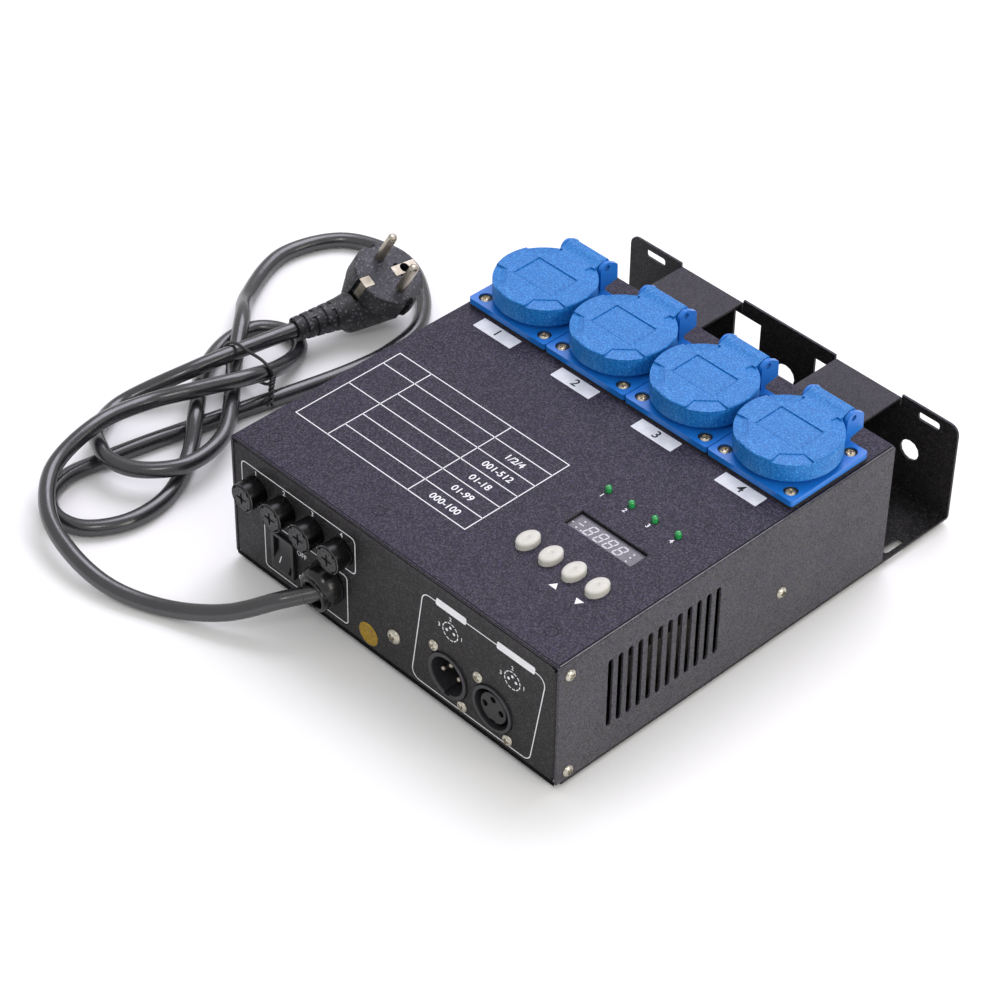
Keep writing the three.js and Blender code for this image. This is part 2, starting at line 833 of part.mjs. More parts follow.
// Rear panel with flanges turned forward under the cover
function makeRearPanel() {
  const half = innerWidth / 2;
  const mid = sheet / 2;
  const back = boxDepth - mid;
  const foldBend = bendRadius - mid;
  const wall = folded([
    [boxDepth - panelFlange, hiddenFloor + mid], [back, hiddenFloor + mid],
    [back, hiddenTop - mid], [boxDepth - panelFlange, hiddenTop - mid],
  ], sheet, foldBend);
  const cheeks = folded([
    [-(half - mid), boxDepth - panelFlange], [-(half - mid), back], [half - mid, back],
    [half - mid, boxDepth - panelFlange],
  ], sheet, foldBend);
  return join(
    sideways(wall, -(half - foldRelief), half - foldRelief),
    upright(cheeks, hiddenFloor + foldRelief, hiddenTop - foldRelief),
    block(bendRadius - half, half - bendRadius, boxDepth - sheet, boxDepth,
      hiddenFloor + bendRadius, hiddenTop - bendRadius),
  );
}
add('rear_panel', makeRearPanel(), trayPaint);

// Rubber feet
const footProfile = [
  [0, footScrewDepth - footHeight], [footScrewRadius, footScrewDepth - footHeight],
  [footScrewRadius, -footHeight], [footRadius - footTaper, -footHeight], [footRadius, -seat],
  [0, -seat],
];
const footPlaces = [
  [-1, footInset], [1, footInset], [-1, boxDepth - footInset], [1, boxDepth - footInset],
];
footPlaces.forEach(([side, y], i) => {
  const x = side * (boxWidth / 2 - footInset);
  add(`foot_${i + 1}`, turnedUp(footProfile, footSides), blackRubber, x, y);
});

// Power sockets, drawn about their own centre on the cover
function makeGasket() {
  const slab = upright(rounded(flangeSide, flangeSide, flangeCorner), seat, seat + gasketThick);
  return cut(slab, rodUp(barrelRadius + runGap, -overrun, flangeTop, socketSides));
}

function makeSocketBody() {
  const plate = upright(rounded(flangeSide, flangeSide, flangeCorner), flangeBase, flangeTop);
  const drum = turnedUp([
    [0, -barrelDrop], [barrelRadius, -barrelDrop], [barrelRadius, flangeBase + bite],
    [collarRadius, flangeBase + bite], [collarRadius, collarTop - collarEdge],
    [collarRadius - collarEdge, collarTop], [0, collarTop],
  ], socketSides);
  const ears = [-1, 1].map((sign) => {
    const rise = earTop - flangeTop;
    const shape = outline([
      [earFront, flangeTop - bite],
      ...earOutlineShares.map(([a, b]) => [earFront + a * earDepth, flangeTop + b * rise]),
      [earFront + earFootDepth, flangeTop - bite],
    ]);
    const [a, b] = [earInner * sign, (earInner + earThick) * sign];
    return sideways(shape, Math.min(a, b), Math.max(a, b));
  });
  const bridge = block(-earInner - bite, earInner + bite, earFront, earFront + earFootDepth,
    flangeTop - bite, earBlockTop);
  const well = rodUp(wellRadius, wellFloor, collarTop + overrun, socketSides);
  const tools = [
    well,
    block(-clipWidth / 2 - runGap, clipWidth / 2 + runGap, -clipSpread - clipThick,
      clipSpread + clipThick, wellFloor - clipGroove, wellFloor + overrun),
    rodAcross(hingeHoleRadius, -hingePinLength / 2 - runGap, hingePinLength / 2 + runGap, hingeSides)
      .translate(0, pivotBack, pivotHeight),
  ];
  for (const sign of [-1, 1]) {
    tools.push(rodUp(contactRadius, wellFloor - contactDepth, wellFloor + overrun, contactSides)
      .translate(sign * contactSpacing / 2, 0, 0));
    for (const end of [-1, 1]) {
      tools.push(rodUp(screwWellRadius, flangeTop - screwWellDepth, flangeTop + overrun, screwSides)
        .translate(sign * screwPlace, end * screwPlace, 0));
    }
  }
  const bored = cut(join(plate, drum, bridge, ...ears), ...tools);
  const ribs = [-1, 1].map((sign) => {
    const [a, b] = [sign * (wellRadius - ribDepth), sign * (wellRadius + bite)];
    return block(Math.min(a, b), Math.max(a, b), -ribWidth / 2, ribWidth / 2,
      wellFloor - bite, collarTop - ribLead);
  });
  return join(bored, ...ribs);
}

function makeEarthClip() {
  const low = wellFloor - clipGroove + seat + clipThick / 2;
  const prong = [
    [clipSpread, low], [clipSpread, -clipRoot], [clipSpread - clipPinch, clipWaist],
    [clipSpread, clipTop],
  ];
  const mirrored = prong.map(([a, b]) => [-a, b]).reverse();
  return sideways(folded([...mirrored, ...prong], clipThick, clipBend), -clipWidth / 2, clipWidth / 2);
}

function makeLid() {
  const rim = [];
  for (let i = 0; i <= lidFilletSteps; i += 1) {
    const angle = Math.PI / 2 * i / lidFilletSteps;
    rim.push([
      lidRadius - lidFillet * (1 - Math.cos(angle)), lidTop - lidFillet * (1 - Math.sin(angle)),
    ]);
  }
  const cap = turnedUp([
    [0, lidTop - lidDisc], [lidInner, lidTop - lidDisc], [lidInner, lidBottom],
    [lidRadius, lidBottom], ...rim, [0, lidTop],
  ], socketSides);
  const plate = outline([
    [knuckleFront, knuckleLow], [knuckleBack - knuckleRound, knuckleLow],
    [knuckleBack, knuckleLow + knuckleRound], [knuckleBack, knuckleTop - knuckleRound],
    [knuckleBack - knuckleRound * knuckleShare, knuckleTop - knuckleRound * knuckleShare],
    [knuckleBack - knuckleRound, knuckleTop], [knuckleFront, knuckleTop],
  ]);
  const web = block(-knuckleHalf, knuckleHalf, earFront - lidFillet, knuckleFront + bite,
    knuckleLow, lidTop - lidFillet);
  const reach = lidRadius + overrun;
  const halfAt = (r) => facetInner / 2
    + (facetOuter - facetInner) / 2 * (r - facetStart) / (lidRadius - facetStart);
  const floorAt = (r) => lidTop - facetShallow
    - (facetDeep - facetShallow) * (r - facetStart) / (lidRadius - facetStart);
  const wedge = outline([
    [facetStart, -halfAt(facetStart)], [reach, -halfAt(reach)], [reach, halfAt(reach)],
    [facetStart, halfAt(facetStart)],
  ]);
  const tools = [];
  for (let i = 0; i < 4; i += 1) {
    const tool = upright(wedge, lidTop - facetDeep, lidTop + overrun);
    const spot = tool.getAttribute('position');
    for (let k = 0; k < spot.count; k += 1) {
      if (spot.getZ(k) < lidTop) spot.setZ(k, floorAt(spot.getX(k)));
    }
    const chord = block(facetChord, reach, -facetOuter / 2, facetOuter / 2, lidBottom - overrun,
      lidTop + overrun);
    const turn = Math.PI / 4 + Math.PI / 2 * i;
    tools.push(tool.rotateZ(turn), chord.rotateZ(turn));
  }
  tools.push(block(-badgeWidth / 2, badgeWidth / 2, -badgeDepth / 2, badgeDepth / 2,
    lidTop - badgeSink, lidTop + overrun));
  const body = join(cut(cap, ...tools), sideways(plate, -knuckleHalf, knuckleHalf), web);
  return cut(body, rodAcross(hingeHoleRadius, -knuckleHalf - overrun, knuckleHalf + overrun, hingeSides)
    .translate(0, pivotBack, pivotHeight));
}

const socketParts = {
  gasket: [makeGasket(), blackRubber],
  body: [makeSocketBody(), socketBlue],
  earth_clip: [makeEarthClip(), nickel],
  lid: [makeLid(), lidBlue],
  hinge_pin: [rodAcross(hingePinRadius, -hingePinLength / 2, hingePinLength / 2, hingeSides)
    .translate(0, pivotBack, pivotHeight), steel],
};
socketPlaces.forEach((x, i) => {
  for (const [name, [geometry, look]] of Object.entries(socketParts)) {
    add(`socket_${name}_${i + 1}`, geometry, look, x, socketRow, wallClear);
  }
});

// Fuse holders, each with a cap that draws its fuse out
const holderBody = turned([
  [0, fuseBoreBack], [fuseBoreRadius, fuseBoreBack], [fuseBoreRadius, recessFloor],
  [capRadius + runGap, recessFloor], [capRadius + runGap, -fuseRimOut],
  [fuseRimRadius, -fuseRimOut], [fuseRimRadius, -seat], [fuseNeckRadius, -seat],
  [fuseNeckRadius, fuseBodyBack], [0, fuseBodyBack],
], fuseSides);
const holderNut = cut(
  rodBack(fuseNutRadius, sheet + seat, sheet + seat + fuseNutThick, spacerSides),
  rodBack(fuseNeckRadius - bite, 0, fuseBodyBack, fuseSides),
);
const holderLugs = [
  block(-fuseLugWidth / 2, fuseLugWidth / 2, fuseBodyBack - bite, fuseBodyBack + fuseLugLength,
    -fuseLugThick / 2, fuseLugThick / 2),
  block(-fuseLugWidth / 2, fuseLugWidth / 2, fuseBoreBack - fuseLugThick, fuseBoreBack,
    fuseNeckRadius - bite * 2, fuseNeckRadius + fuseLugLength),
];
const holder = join(holderBody, holderNut, ...holderLugs);

function makeFuseCap() {
  const end = capFront + capThick + carrierLength;
  const body = turned([
    [0, capFront], [capRadius, capFront], [capRadius, capFront + capThick],
    [carrierRadius, capFront + capThick], [carrierRadius, end], [fuseRadius + fuseGrip, end],
    [fuseRadius + fuseGrip, end - carrierGrip], [0, end - carrierGrip],
  ], fuseSides);
  const slotBack = capFront + capSlotDepth;
  const tools = [
    block(-capSlotLength / 2, capSlotLength / 2, capFront - overrun, slotBack,
      -capSlotWidth / 2, capSlotWidth / 2),
    block(-capSlotWidth / 2, capSlotWidth / 2, capFront - overrun, slotBack,
      -capSlotLength / 2, capSlotLength / 2),
  ];
  for (let i = 0; i < capNotchCount; i += 1) {
    const notch = block(capRadius - capNotchDepth, capRadius + overrun, capFront - overrun, slotBack,
      -capNotchWidth / 2, capNotchWidth / 2);
    tools.push(notch.rotateY(2 * Math.PI * (i + 1 / 2) / capNotchCount));
  }
  return cut(body, ...tools);
}
const fuseCap = makeFuseCap();
const fuseFront = capFront + capThick + carrierLength - carrierGrip + seat;
const glassFuse = rodBack(fuseRadius, fuseFront, fuseFront + fuseLength, contactSides);
fusePlaces.forEach((x, i) => {
  add(`fuse_holder_${i + 1}`, holder, blackPlastic, x, 0, fuseLevel);
  add(`fuse_cap_${i + 1}`, fuseCap, blackPlastic, x, 0, fuseLevel);
  add(`fuse_${i + 1}`, glassFuse, fuseGlass, x, 0, fuseLevel);
});

// Mains rocker in its frame
function makeRockerFrame() {
  const [wide, high] = [rockerOpenWidth + 2 * rockerWall, rockerOpenHeight + 2 * rockerWall];
  const bezel = frontal(rounded(bezelWidth, bezelHeight, bezelCorner), -bezelProud, -seat);
  const body = frontal(rounded(wide, high, bezelCorner / 2), -bezelProud + bite, rockerBodyBack);
  const spades = [];
  for (const side of [-1, 1]) {
    for (const level of [-1, 1]) {
      spades.push(block(side * wide / 4 - spadeThick / 2, side * wide / 4 + spadeThick / 2,
        rockerBodyBack - bite, rockerBodyBack + spadeLength,
        level * spadeSpread - spadeWidth / 2, level * spadeSpread + spadeWidth / 2));
    }
  }
  const reach = rockerOpenWidth / 2 + rockerStubSink + runGap / 2;
  return cut(join(bezel, body, ...spades),
    block(-rockerOpenWidth / 2, rockerOpenWidth / 2, -bezelProud - overrun, rockerPocketBack,
      -rockerOpenHeight / 2, rockerOpenHeight / 2),
    rodAcross(rockerStubRadius + runGap, -reach, reach, hingeSides).translate(0, rockerPivotBack, 0));
}

function makeRocker() {
  const face = rockerCrown + rockerArc * Math.sin(rockerTilt);
  const profile = [[0, -rockerCrown]];
  const from = Math.asin(face / rockerArc);
  const to = -Math.asin(rockerRear / rockerArc);
  for (let i = 0; i <= rockerArcSteps; i += 1) {
    const angle = from + (to - from) * i / rockerArcSteps;
    profile.push([Math.cos(angle) * rockerArc, -Math.sin(angle) * rockerArc]);
  }
  const lower = profile.slice(1).map(([z, y]) => [-z, y]).reverse();
  const shape = outline([...profile, ...lower].map(([z, y]) => [y, z]));
  const half = rockerOpenWidth / 2 - runGap;
  const stub = rockerOpenWidth / 2 + rockerStubSink - runGap / 2;
  const body = join(sideways(shape, -half, half), rodAcross(rockerStubRadius, -stub, stub, hingeSides));
  return body.rotateX(-rockerTilt);
}
add('rocker_frame', makeRockerFrame(), blackPlastic, rockerPlace, 0, rockerLevel);
add('rocker', makeRocker(), blackPlastic, rockerPlace, rockerPivotBack, rockerLevel);

// Round three-pin connectors, mounted from behind
function makeRound(profile) {
  const plate = frontal(rounded(roundFlangeWidth, roundFlangeHeight, roundFlangeCorner),
    sheet + seat, sheet + seat + roundFlangeThick);
  const hollow = rodBack(noseRadius - bite, -overrun, roundBack - bite, roundSides);
  const cups = contactSpots().map(([x, z]) => rodBack(solderCupRadius, roundBack - bite,
    roundBack + solderCupLength, spacerSides).translate(x, 0, z));
  return join(turned(profile, roundSides), cut(plate, hollow), ...cups);
}

function contactSpots() {
  return contactTurns.map((turn) => [
    Math.cos(2 * Math.PI * turn) * contactRing, Math.sin(2 * Math.PI * turn) * contactRing,
  ]);
}

function makeMale() {
  const shell = makeRound([
    [0, roundDepth], [maleBore, roundDepth], [maleBore, -noseProud], [noseRadius, -noseProud],
    [noseRadius, roundBack], [0, roundBack],
  ]);
  const pins = contactSpots().map(([x, z]) => rodBack(contactPinRadius, contactPinSink - noseProud,
    roundDepth + bite, spacerSides).translate(x, 0, z));
  const key = block(-keyWidth / 2, keyWidth / 2, -noseProud - overrun, roundDepth - keyDepth,
    -maleBore - keyDepth, -maleBore + keyDepth);
  return join(cut(shell, key), ...pins);
}

function makeFemale() {
  const shell = makeRound([
    [0, 0], [insertRadius, 0], [insertRadius, roundDepth], [femaleBore, roundDepth],
    [femaleBore, -noseProud], [noseRadius, -noseProud], [noseRadius, roundBack], [0, roundBack],
  ]);
  const holes = contactSpots().map(([x, z]) => rodBack(contactHoleRadius, -overrun,
    contactHoleDepth, contactSides - 2).translate(x, 0, z));
  const key = block(-keyWidth / 2, keyWidth / 2, -overrun, roundDepth, -insertRadius - overrun,
    -insertRadius + keyDepth);
  return cut(shell, key, ...holes);
}
add('connector_in', makeMale(), diecast, plugInPlace, 0, roundLevel);
add('connector_out', makeFemale(), diecast, plugOutPlace, 0, roundLevel);

// Display behind its window, buttons and lights
function makeDisplay() {
  const [wide, deep] = [displayWidth / 2 + displayRim, displayHeight / 2 + displayRim];
  const low = hiddenTop - displayThick;
  const legs = [-1, 1].map((side) => {
    const y = side * deep * displayLegShare;
    return block(-wide * displayLegShare, wide * displayLegShare, y - displayLegThick / 2,
      y + displayLegThick / 2, controlTop + seat, low + bite);
  });
  const pocket = block(-displayWidth / 2, displayWidth / 2, -displayHeight / 2, displayHeight / 2,
    hiddenTop - displaySink, hiddenTop + overrun);
  return cut(join(block(-wide, wide, -deep, deep, low, hiddenTop), ...legs), pocket);
}
add('display', makeDisplay(), greyGlass, displayPlace, displayRow);

const buttonTop = boxHeight + buttonProud;
const buttonCollarTop = lidUnderside - runGap;
const plungerTop = controlTop + switchHeight + plungerHeight;
const buttonProfile = [
  [0, plungerTop + buttonTravel + runGap], [buttonStemRadius, plungerTop + buttonTravel + runGap],
  [buttonStemRadius, buttonCollarTop - buttonCollarThick],
  [buttonRadius + buttonCollar, buttonCollarTop - buttonCollarThick],
  [buttonRadius + buttonCollar, buttonCollarTop], [buttonRadius, buttonCollarTop],
  [buttonRadius, buttonTop - buttonFillet], [buttonRadius - buttonFillet, buttonTop],
  [buttonDimple, buttonTop], [buttonDimple / 2, buttonTop - buttonDimpleDepth],
  [0, buttonTop - buttonDimpleDepth],
];
const button = turnedUp(buttonProfile, buttonSides).scale(buttonNarrow / buttonRadius, 1, 1);
buttonPlaces.forEach((x, i) => add(`button_${i + 1}`, button, ivory, x, buttonRow));

function makeLight() {
  const top = boxHeight + lightProud - lightRadius;
  const collarUp = lidUnderside - runGap;
  const dome = [];
  for (let i = 0; i <= domeSteps; i += 1) {
    const angle = Math.PI / 2 * i / domeSteps;
    dome.push([Math.cos(angle) * lightRadius, top + Math.sin(angle) * lightRadius]);
  }
  dome[domeSteps][0] = 0;
  const lens = turnedUp([
    [0, collarUp - lightCollarThick], [lightRadius + lightCollar, collarUp - lightCollarThick],
    [lightRadius + lightCollar, collarUp], [lightRadius, collarUp], ...dome,
  ], lightSides);
  const legs = [-1, 1].map((side) => {
    const x = side * lightLegSpacing / 2;
    return block(x - lightLegThick / 2, x + lightLegThick / 2, -lightLegThick / 2,
      lightLegThick / 2, controlTop + seat, collarUp - bite);
  });
  return join(lens, ...legs);
}
const light = makeLight();
lightPlaces.forEach((x, i) => add(`light_${i + 1}`, light, greenLens, x, lightRow));

// Control board with its switches, hung on spacers under the cover
function makeControlBoard() {
  const parts = [block(controlLeft, controlRight, controlFront, controlBack,
    controlTop - boardThick, controlTop)];
  for (const x of [controlLeft + spacerInset, controlRight - spacerInset]) {
    for (const y of [controlFront + spacerInset, controlBack - spacerInset]) {
      parts.push(rodUp(spacerRadius, controlTop - bite, hiddenTop, spacerSides).translate(x, y, 0));
    }
  }
  const switchHalf = switchSide / 2;
  for (const x of buttonPlaces) {
    parts.push(
      block(x - switchHalf, x + switchHalf, buttonRow - switchHalf, buttonRow + switchHalf,
        controlTop - bite, controlTop + switchHeight),
      rodUp(plungerRadius, controlTop + switchHeight - bite, plungerTop, spacerSides)
        .translate(x, buttonRow, 0),
    );
  }
  const middle = (controlLeft + controlRight) / 2;
  const under = controlTop - boardThick;
  const back = controlBack - 2 * spacerInset;
  parts.push(
    block(middle - chipLength / 2, middle + chipLength / 2, displayRow - chipWidth / 2,
      displayRow + chipWidth / 2, under - chipThick, under + bite),
    block(middle - headerLength / 2, middle + headerLength / 2, back - headerWidth, back,
      under - headerThick, under + bite),
  );
  return join(...parts);
}
add('control_board', makeControlBoard(), boardGreen);

// Power board on the floor with chokes, terminals and the triacs along its back edge
const powerTop = hiddenFloor + powerUnder + boardThick;
function makePowerBoard() {
  const parts = [block(powerLeft, powerRight, powerFront, powerBack, powerTop - boardThick, powerTop)];
  for (const x of [powerLeft + spacerInset, powerRight - spacerInset]) {
    for (const y of [powerFront + spacerInset, powerBack - spacerInset]) {
      parts.push(rodUp(spacerRadius, hiddenFloor, powerTop - bite, spacerSides).translate(x, y, 0));
    }
  }
  const step = (powerRight - powerLeft) / socketCount;
  const choke = turnedUp([
    [chokeHole, powerTop - bite], [chokeRadius - chokeChamfer, powerTop - bite],
    [chokeRadius, powerTop + chokeChamfer], [chokeRadius, powerTop + chokeThick - chokeChamfer],
    [chokeRadius - chokeChamfer, powerTop + chokeThick], [chokeHole, powerTop + chokeThick],
    [chokeHole, powerTop - bite],
  ], chokeSides);
  const frontRow = powerFront + powerFrontStep;
  for (let i = 0; i < socketCount; i += 1) {
    const x = powerLeft + step * (i + 1 / 2);
    parts.push(
      choke.clone().translate(x, frontRow + chokeRow, 0),
      block(x - triacWidth / 2, x + triacWidth / 2, powerBack - triacThick, powerBack,
        powerTop - bite, powerTop + triacHeight),
      block(x - terminalWidth / 2, x + terminalWidth / 2, frontRow, frontRow + terminalDepth,
        powerTop - bite, powerTop + terminalHeight),
    );
  }
  return join(...parts);
}
add('power_board', makePowerBoard(), boardGreen);

function makeHeatsink() {
  const [left, right] = [powerLeft + spacerInset, powerRight - spacerInset];
  const front = powerBack + seat;
  const points = [[left, front], [right, front]];
  const pitch = (right - left - sinkFin) / (sinkFinCount - 1);
  for (let i = sinkFinCount - 1; i >= 0; i -= 1) {
    const x = left + pitch * i;
    points.push([x + sinkFin, front + sinkBase + sinkFinDepth], [x, front + sinkBase + sinkFinDepth]);
    if (i > 0) {
      points.push([x, front + sinkBase], [x - pitch + sinkFin, front + sinkBase]);
    }
  }
  return upright(outline(points), hiddenFloor, hiddenFloor + sinkHeight);
}
add('heatsink', makeHeatsink(), bareAluminium);

function makeTransformer() {
  const right = coreLeft + coreWidth;
  const back = coreFront + coreDepth;
  const top = hiddenFloor + coreHeight;
  return join(
    block(coreLeft, right, coreFront, back, hiddenFloor, top),
    block(coreLeft + bobbinInset, right - bobbinInset, coreFront - bobbinOver, back + bobbinOver,
      hiddenFloor + bobbinInset, top - bobbinInset),
    block(coreLeft - coreFootWidth, right + coreFootWidth, coreFront + bobbinInset,
      back - bobbinInset, hiddenFloor, hiddenFloor + coreFootThick),
  );
}
add('transformer', makeTransformer(), coreSteel);

// Mains lead on one smooth curve through its route
const fromCorner = ([x, y, height]) => new THREE.Vector3(x - boxWidth / 2, y, height - footHeight);
const routePoints = cordRoute.map(fromCorner);

function knotted(points, closed) {
  const count = points.length;
  const at = (i) => {
    if (closed) return points[(i + count) % count];
    if (i < 0) return points[0].clone().multiplyScalar(2).sub(points[1]);
    if (i >= count) return points[count - 1].clone().multiplyScalar(2).sub(points[count - 2]);
    return points[i];
  };
  return (i, share) => {
    const [a, b, c, d] = [at(i - 1), at(i), at(i + 1), at(i + 2)];
    const t1 = Math.sqrt(a.distanceTo(b));
    const t2 = t1 + Math.sqrt(b.distanceTo(c));
    const t3 = t2 + Math.sqrt(c.distanceTo(d));
    const t = t1 + (t2 - t1) * share;
    const mix = (p, q, from, to) => p.clone().lerp(q, (t - from) / (to - from));
    const [ab, bc, cd] = [mix(a, b, 0, t1), mix(b, c, t1, t2), mix(c, d, t2, t3)];
    return mix(mix(ab, bc, 0, t2), mix(bc, cd, t1, t3), t1, t2);
  };
}

function cordRings(points) {
  const place = knotted(points, false);
  const rings = [points[0]];
  const fine = 8;
  for (let i = 0; i < points.length - 1; i += 1) {
    let [turn, length] = [0, 0];
    for (let k = 0; k < fine; k += 1) {
      const [a, b, c] = [k, k + 1, k + 2].map((step) => place(i, step / fine));
      if (k < fine - 1) turn += b.clone().sub(a).angleTo(c.clone().sub(b));
      length += a.distanceTo(b);
    }
    const parts = Math.max(1, Math.round(turn / cordTurnStep), Math.round(length / cordLongStep));
    for (let k = 1; k <= parts; k += 1) rings.push(place(i, k / parts));
  }
  return rings;
}

function leastGap(points, apart) {
  const dense = [];
  for (let i = 0; i < points.length - 1; i += 1) {
    const steps = Math.ceil(points[i].distanceTo(points[i + 1]));
    for (let k = 0; k < steps; k += 1) dense.push(points[i].clone().lerp(points[i + 1], k / steps));
  }
  let least = Infinity;
  let spot = dense[0];
  const skip = Math.ceil(apart);
  for (let i = 0; i < dense.length; i += 1) {
    for (let k = i + skip; k < dense.length; k += 1) {
      const gap = dense[i].distanceTo(dense[k]);
      if (gap < least) [least, spot] = [gap, dense[i]];
    }
  }
  return { gap: least - 2 * cordRadius, spot };
}

const rings = cordRings(routePoints);
const cordLength = rings.slice(1).reduce((sum, ring, i) => sum + ring.distanceTo(rings[i]), 0);
const { gap: cordGap, spot: cordSpot } = leastGap(rings, 5 * cordRadius);
console.log(`lead: ${rings.length} rings, ${cordLength.toFixed(0)} mm along its middle`);
console.log(`lead: least gap to itself ${cordGap.toFixed(2)} mm near ${cordSpot.toArray()
  .map((value) => value.toFixed(0))}`);
add('cord', tube(rings, cordRadius, cordSides, false), blackPlastic);

// Gland whose nozzle points along the start of the lead
function along(geometry, from, way) {
  const turn = new THREE.Quaternion().setFromUnitVectors(new THREE.Vector3(0, 1, 0), way);
  return geometry.applyQuaternion(turn).translate(from.x, from.y, from.z);
}

function makeGland() {
  const dome = glandDomeShares.map(([r, out]) => [r * glandBase, -out * glandFront]);
  const body = turned([
    [0, -glandFront], ...dome, [glandBase, -seat], [glandNeck, -seat], [glandNeck, glandTail],
    [0, glandTail],
  ], glandSides);
  const nut = cut(rodBack(glandNutRadius, sheet + seat, sheet + seat + glandNutThick, spacerSides),
    rodBack(glandNeck - bite, 0, glandTail, glandSides));
  const way = routePoints[0].clone().sub(routePoints[1]).normalize();
  const start = routePoints[0].clone().addScaledVector(way, runGap);
  const nozzle = along(turned([
    [0, 0], [glandNozzle, 0], [glandNozzleRoot, glandNozzleLength], [0, glandNozzleLength],
  ], glandSides), start, way);
  return join(join(body, nut).translate(glandPlace, 0, glandLevel), nozzle);
}
add('cable_gland', makeGland(), blackPlastic);

// Moulded plug lying on its side at the far end of the lead
function makePlug() {
  const puck = turnedUp([
    [0, -plugDepth],
    ...plugBodyShares.map(([r, back]) => [r * plugRadius, -back * plugDepth]),
    [plugRadius, -plugEdge], [plugRadius - plugEdge, 0], [0, 0],
  ], plugSides);
  const tools = [rodUp(plugSocketRadius, -plugSocketDeep, overrun, plugPinSides)
    .translate(0, plugSocketPlace, 0)];
  const pins = [];
  for (const sign of [-1, 1]) {
    const channel = [sign * (plugRadius - plugChannelDeep), sign * (plugRadius + overrun)];
    const key = [sign * (plugRadius - plugKeyDeep), sign * (plugRadius + overrun)];
    tools.push(
      block(-plugChannel / 2, plugChannel / 2, Math.min(...channel), Math.max(...channel),
        -plugChannelRun, overrun),
      block(Math.min(...key), Math.max(...key), -plugKey / 2, plugKey / 2, -plugKeyRun, overrun),
    );
    pins.push(turnedUp([
      [0, -bite], [plugPinRadius, -bite], [plugPinRadius, plugPinLength - plugPinTip],
      [plugPinRadius / 2, plugPinLength], [0, plugPinLength],
    ], plugPinSides).translate(sign * contactSpacing / 2, 0, 0));
  }
  const face = fromCorner(plugFace);
  const body = join(cut(puck, ...tools), ...pins).rotateX(plugTip).rotateY(plugLean)
    .rotateZ(plugTurn).translate(face.x, face.y, face.z);
  const last = routePoints[routePoints.length - 1];
  const way = last.clone().sub(routePoints[routePoints.length - 2]).normalize();
  const start = last.clone().addScaledVector(way, runGap);
  const profile = [[0, 0], [reliefTip, 0]];
  const pitch = (reliefRun - reliefNeckRun) / reliefRibs;
  for (let i = 0; i < reliefRibs; i += 1) {
    const radius = (share) => reliefTip + (reliefNeck - reliefTip) * (i + share) / reliefRibs;
    const cutFrom = pitch * (i + 1 - reliefGrooveShare);
    profile.push(
      [radius(1 - reliefGrooveShare), cutFrom], [radius(1) - reliefGroove, cutFrom],
      [radius(1) - reliefGroove, pitch * (i + 1)], [radius(1), pitch * (i + 1)],
    );
  }
  profile.push([reliefRoot, reliefRun], [0, reliefRun]);
  return join(body, along(turned(profile, reliefSides), start, way));
}
add('plug', makePlug(), blackPlastic);

// Wire tie, one closed loop round three strands
const tiePoints = tieRoute.map(([x, height]) => fromCorner([x, tieRow, height]));
const tiePlace = knotted(tiePoints, true);
const tieRings = Array.from({ length: tieSteps }, (_, i) => {
  const spot = i * tiePoints.length / tieSteps;
  return tiePlace(Math.floor(spot), spot % 1);
});
add('cord_tie', tube(tieRings, tieRadius, tieSides, true), blackPlastic);

export default pack;
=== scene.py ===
from math import atan2, ceil, cos, pi, radians, sin, sqrt, tan

import bmesh
import bpy
from mathutils import Matrix, Vector


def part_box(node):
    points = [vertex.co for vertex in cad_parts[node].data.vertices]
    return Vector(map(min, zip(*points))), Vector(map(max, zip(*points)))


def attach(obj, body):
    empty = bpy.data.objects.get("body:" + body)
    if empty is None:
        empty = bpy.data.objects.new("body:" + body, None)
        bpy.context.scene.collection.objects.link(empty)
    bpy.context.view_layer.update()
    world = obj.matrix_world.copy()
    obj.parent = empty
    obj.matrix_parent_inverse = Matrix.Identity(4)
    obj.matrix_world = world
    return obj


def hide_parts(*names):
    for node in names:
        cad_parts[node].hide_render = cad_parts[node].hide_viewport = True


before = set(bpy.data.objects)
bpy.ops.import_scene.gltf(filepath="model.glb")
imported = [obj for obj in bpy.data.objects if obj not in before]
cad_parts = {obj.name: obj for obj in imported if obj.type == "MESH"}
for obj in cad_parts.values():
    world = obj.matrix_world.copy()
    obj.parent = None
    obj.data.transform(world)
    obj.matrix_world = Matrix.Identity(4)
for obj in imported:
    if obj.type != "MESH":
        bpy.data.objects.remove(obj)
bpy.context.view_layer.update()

mm = 0.001
up = Vector((0, 0, 1))

# Places in millimetres from the left front corner of the box, and up from its underside
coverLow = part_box("top_cover")[0]
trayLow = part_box("chassis_tray")[0]
boxWidth = 206
middle = 103
topLevel = 68.5
tableDrop = 3


def place(x, y, z):
    return Vector((coverLow.x + x * mm, coverLow.y + y * mm, trayLow.z + z * mm))


def spin(degrees, axis="Z"):
    return Matrix.Rotation(radians(degrees), 4, axis)


def onTop(x, y, z=topLevel):
    return Matrix.Translation(place(x, y, z))


def onFront(x, z):
    return Matrix.Translation(place(x, 0, z)) @ spin(90, "X")


def onSide(y, z, left):
    spot = place(0 if left else boxWidth, y, z)
    return Matrix.Translation(spot) @ spin(-90 if left else 90) @ spin(90, "X")


def linked(name, data):
    made = bpy.data.objects.new(name, data)
    bpy.context.scene.collection.objects.link(made)
    return made


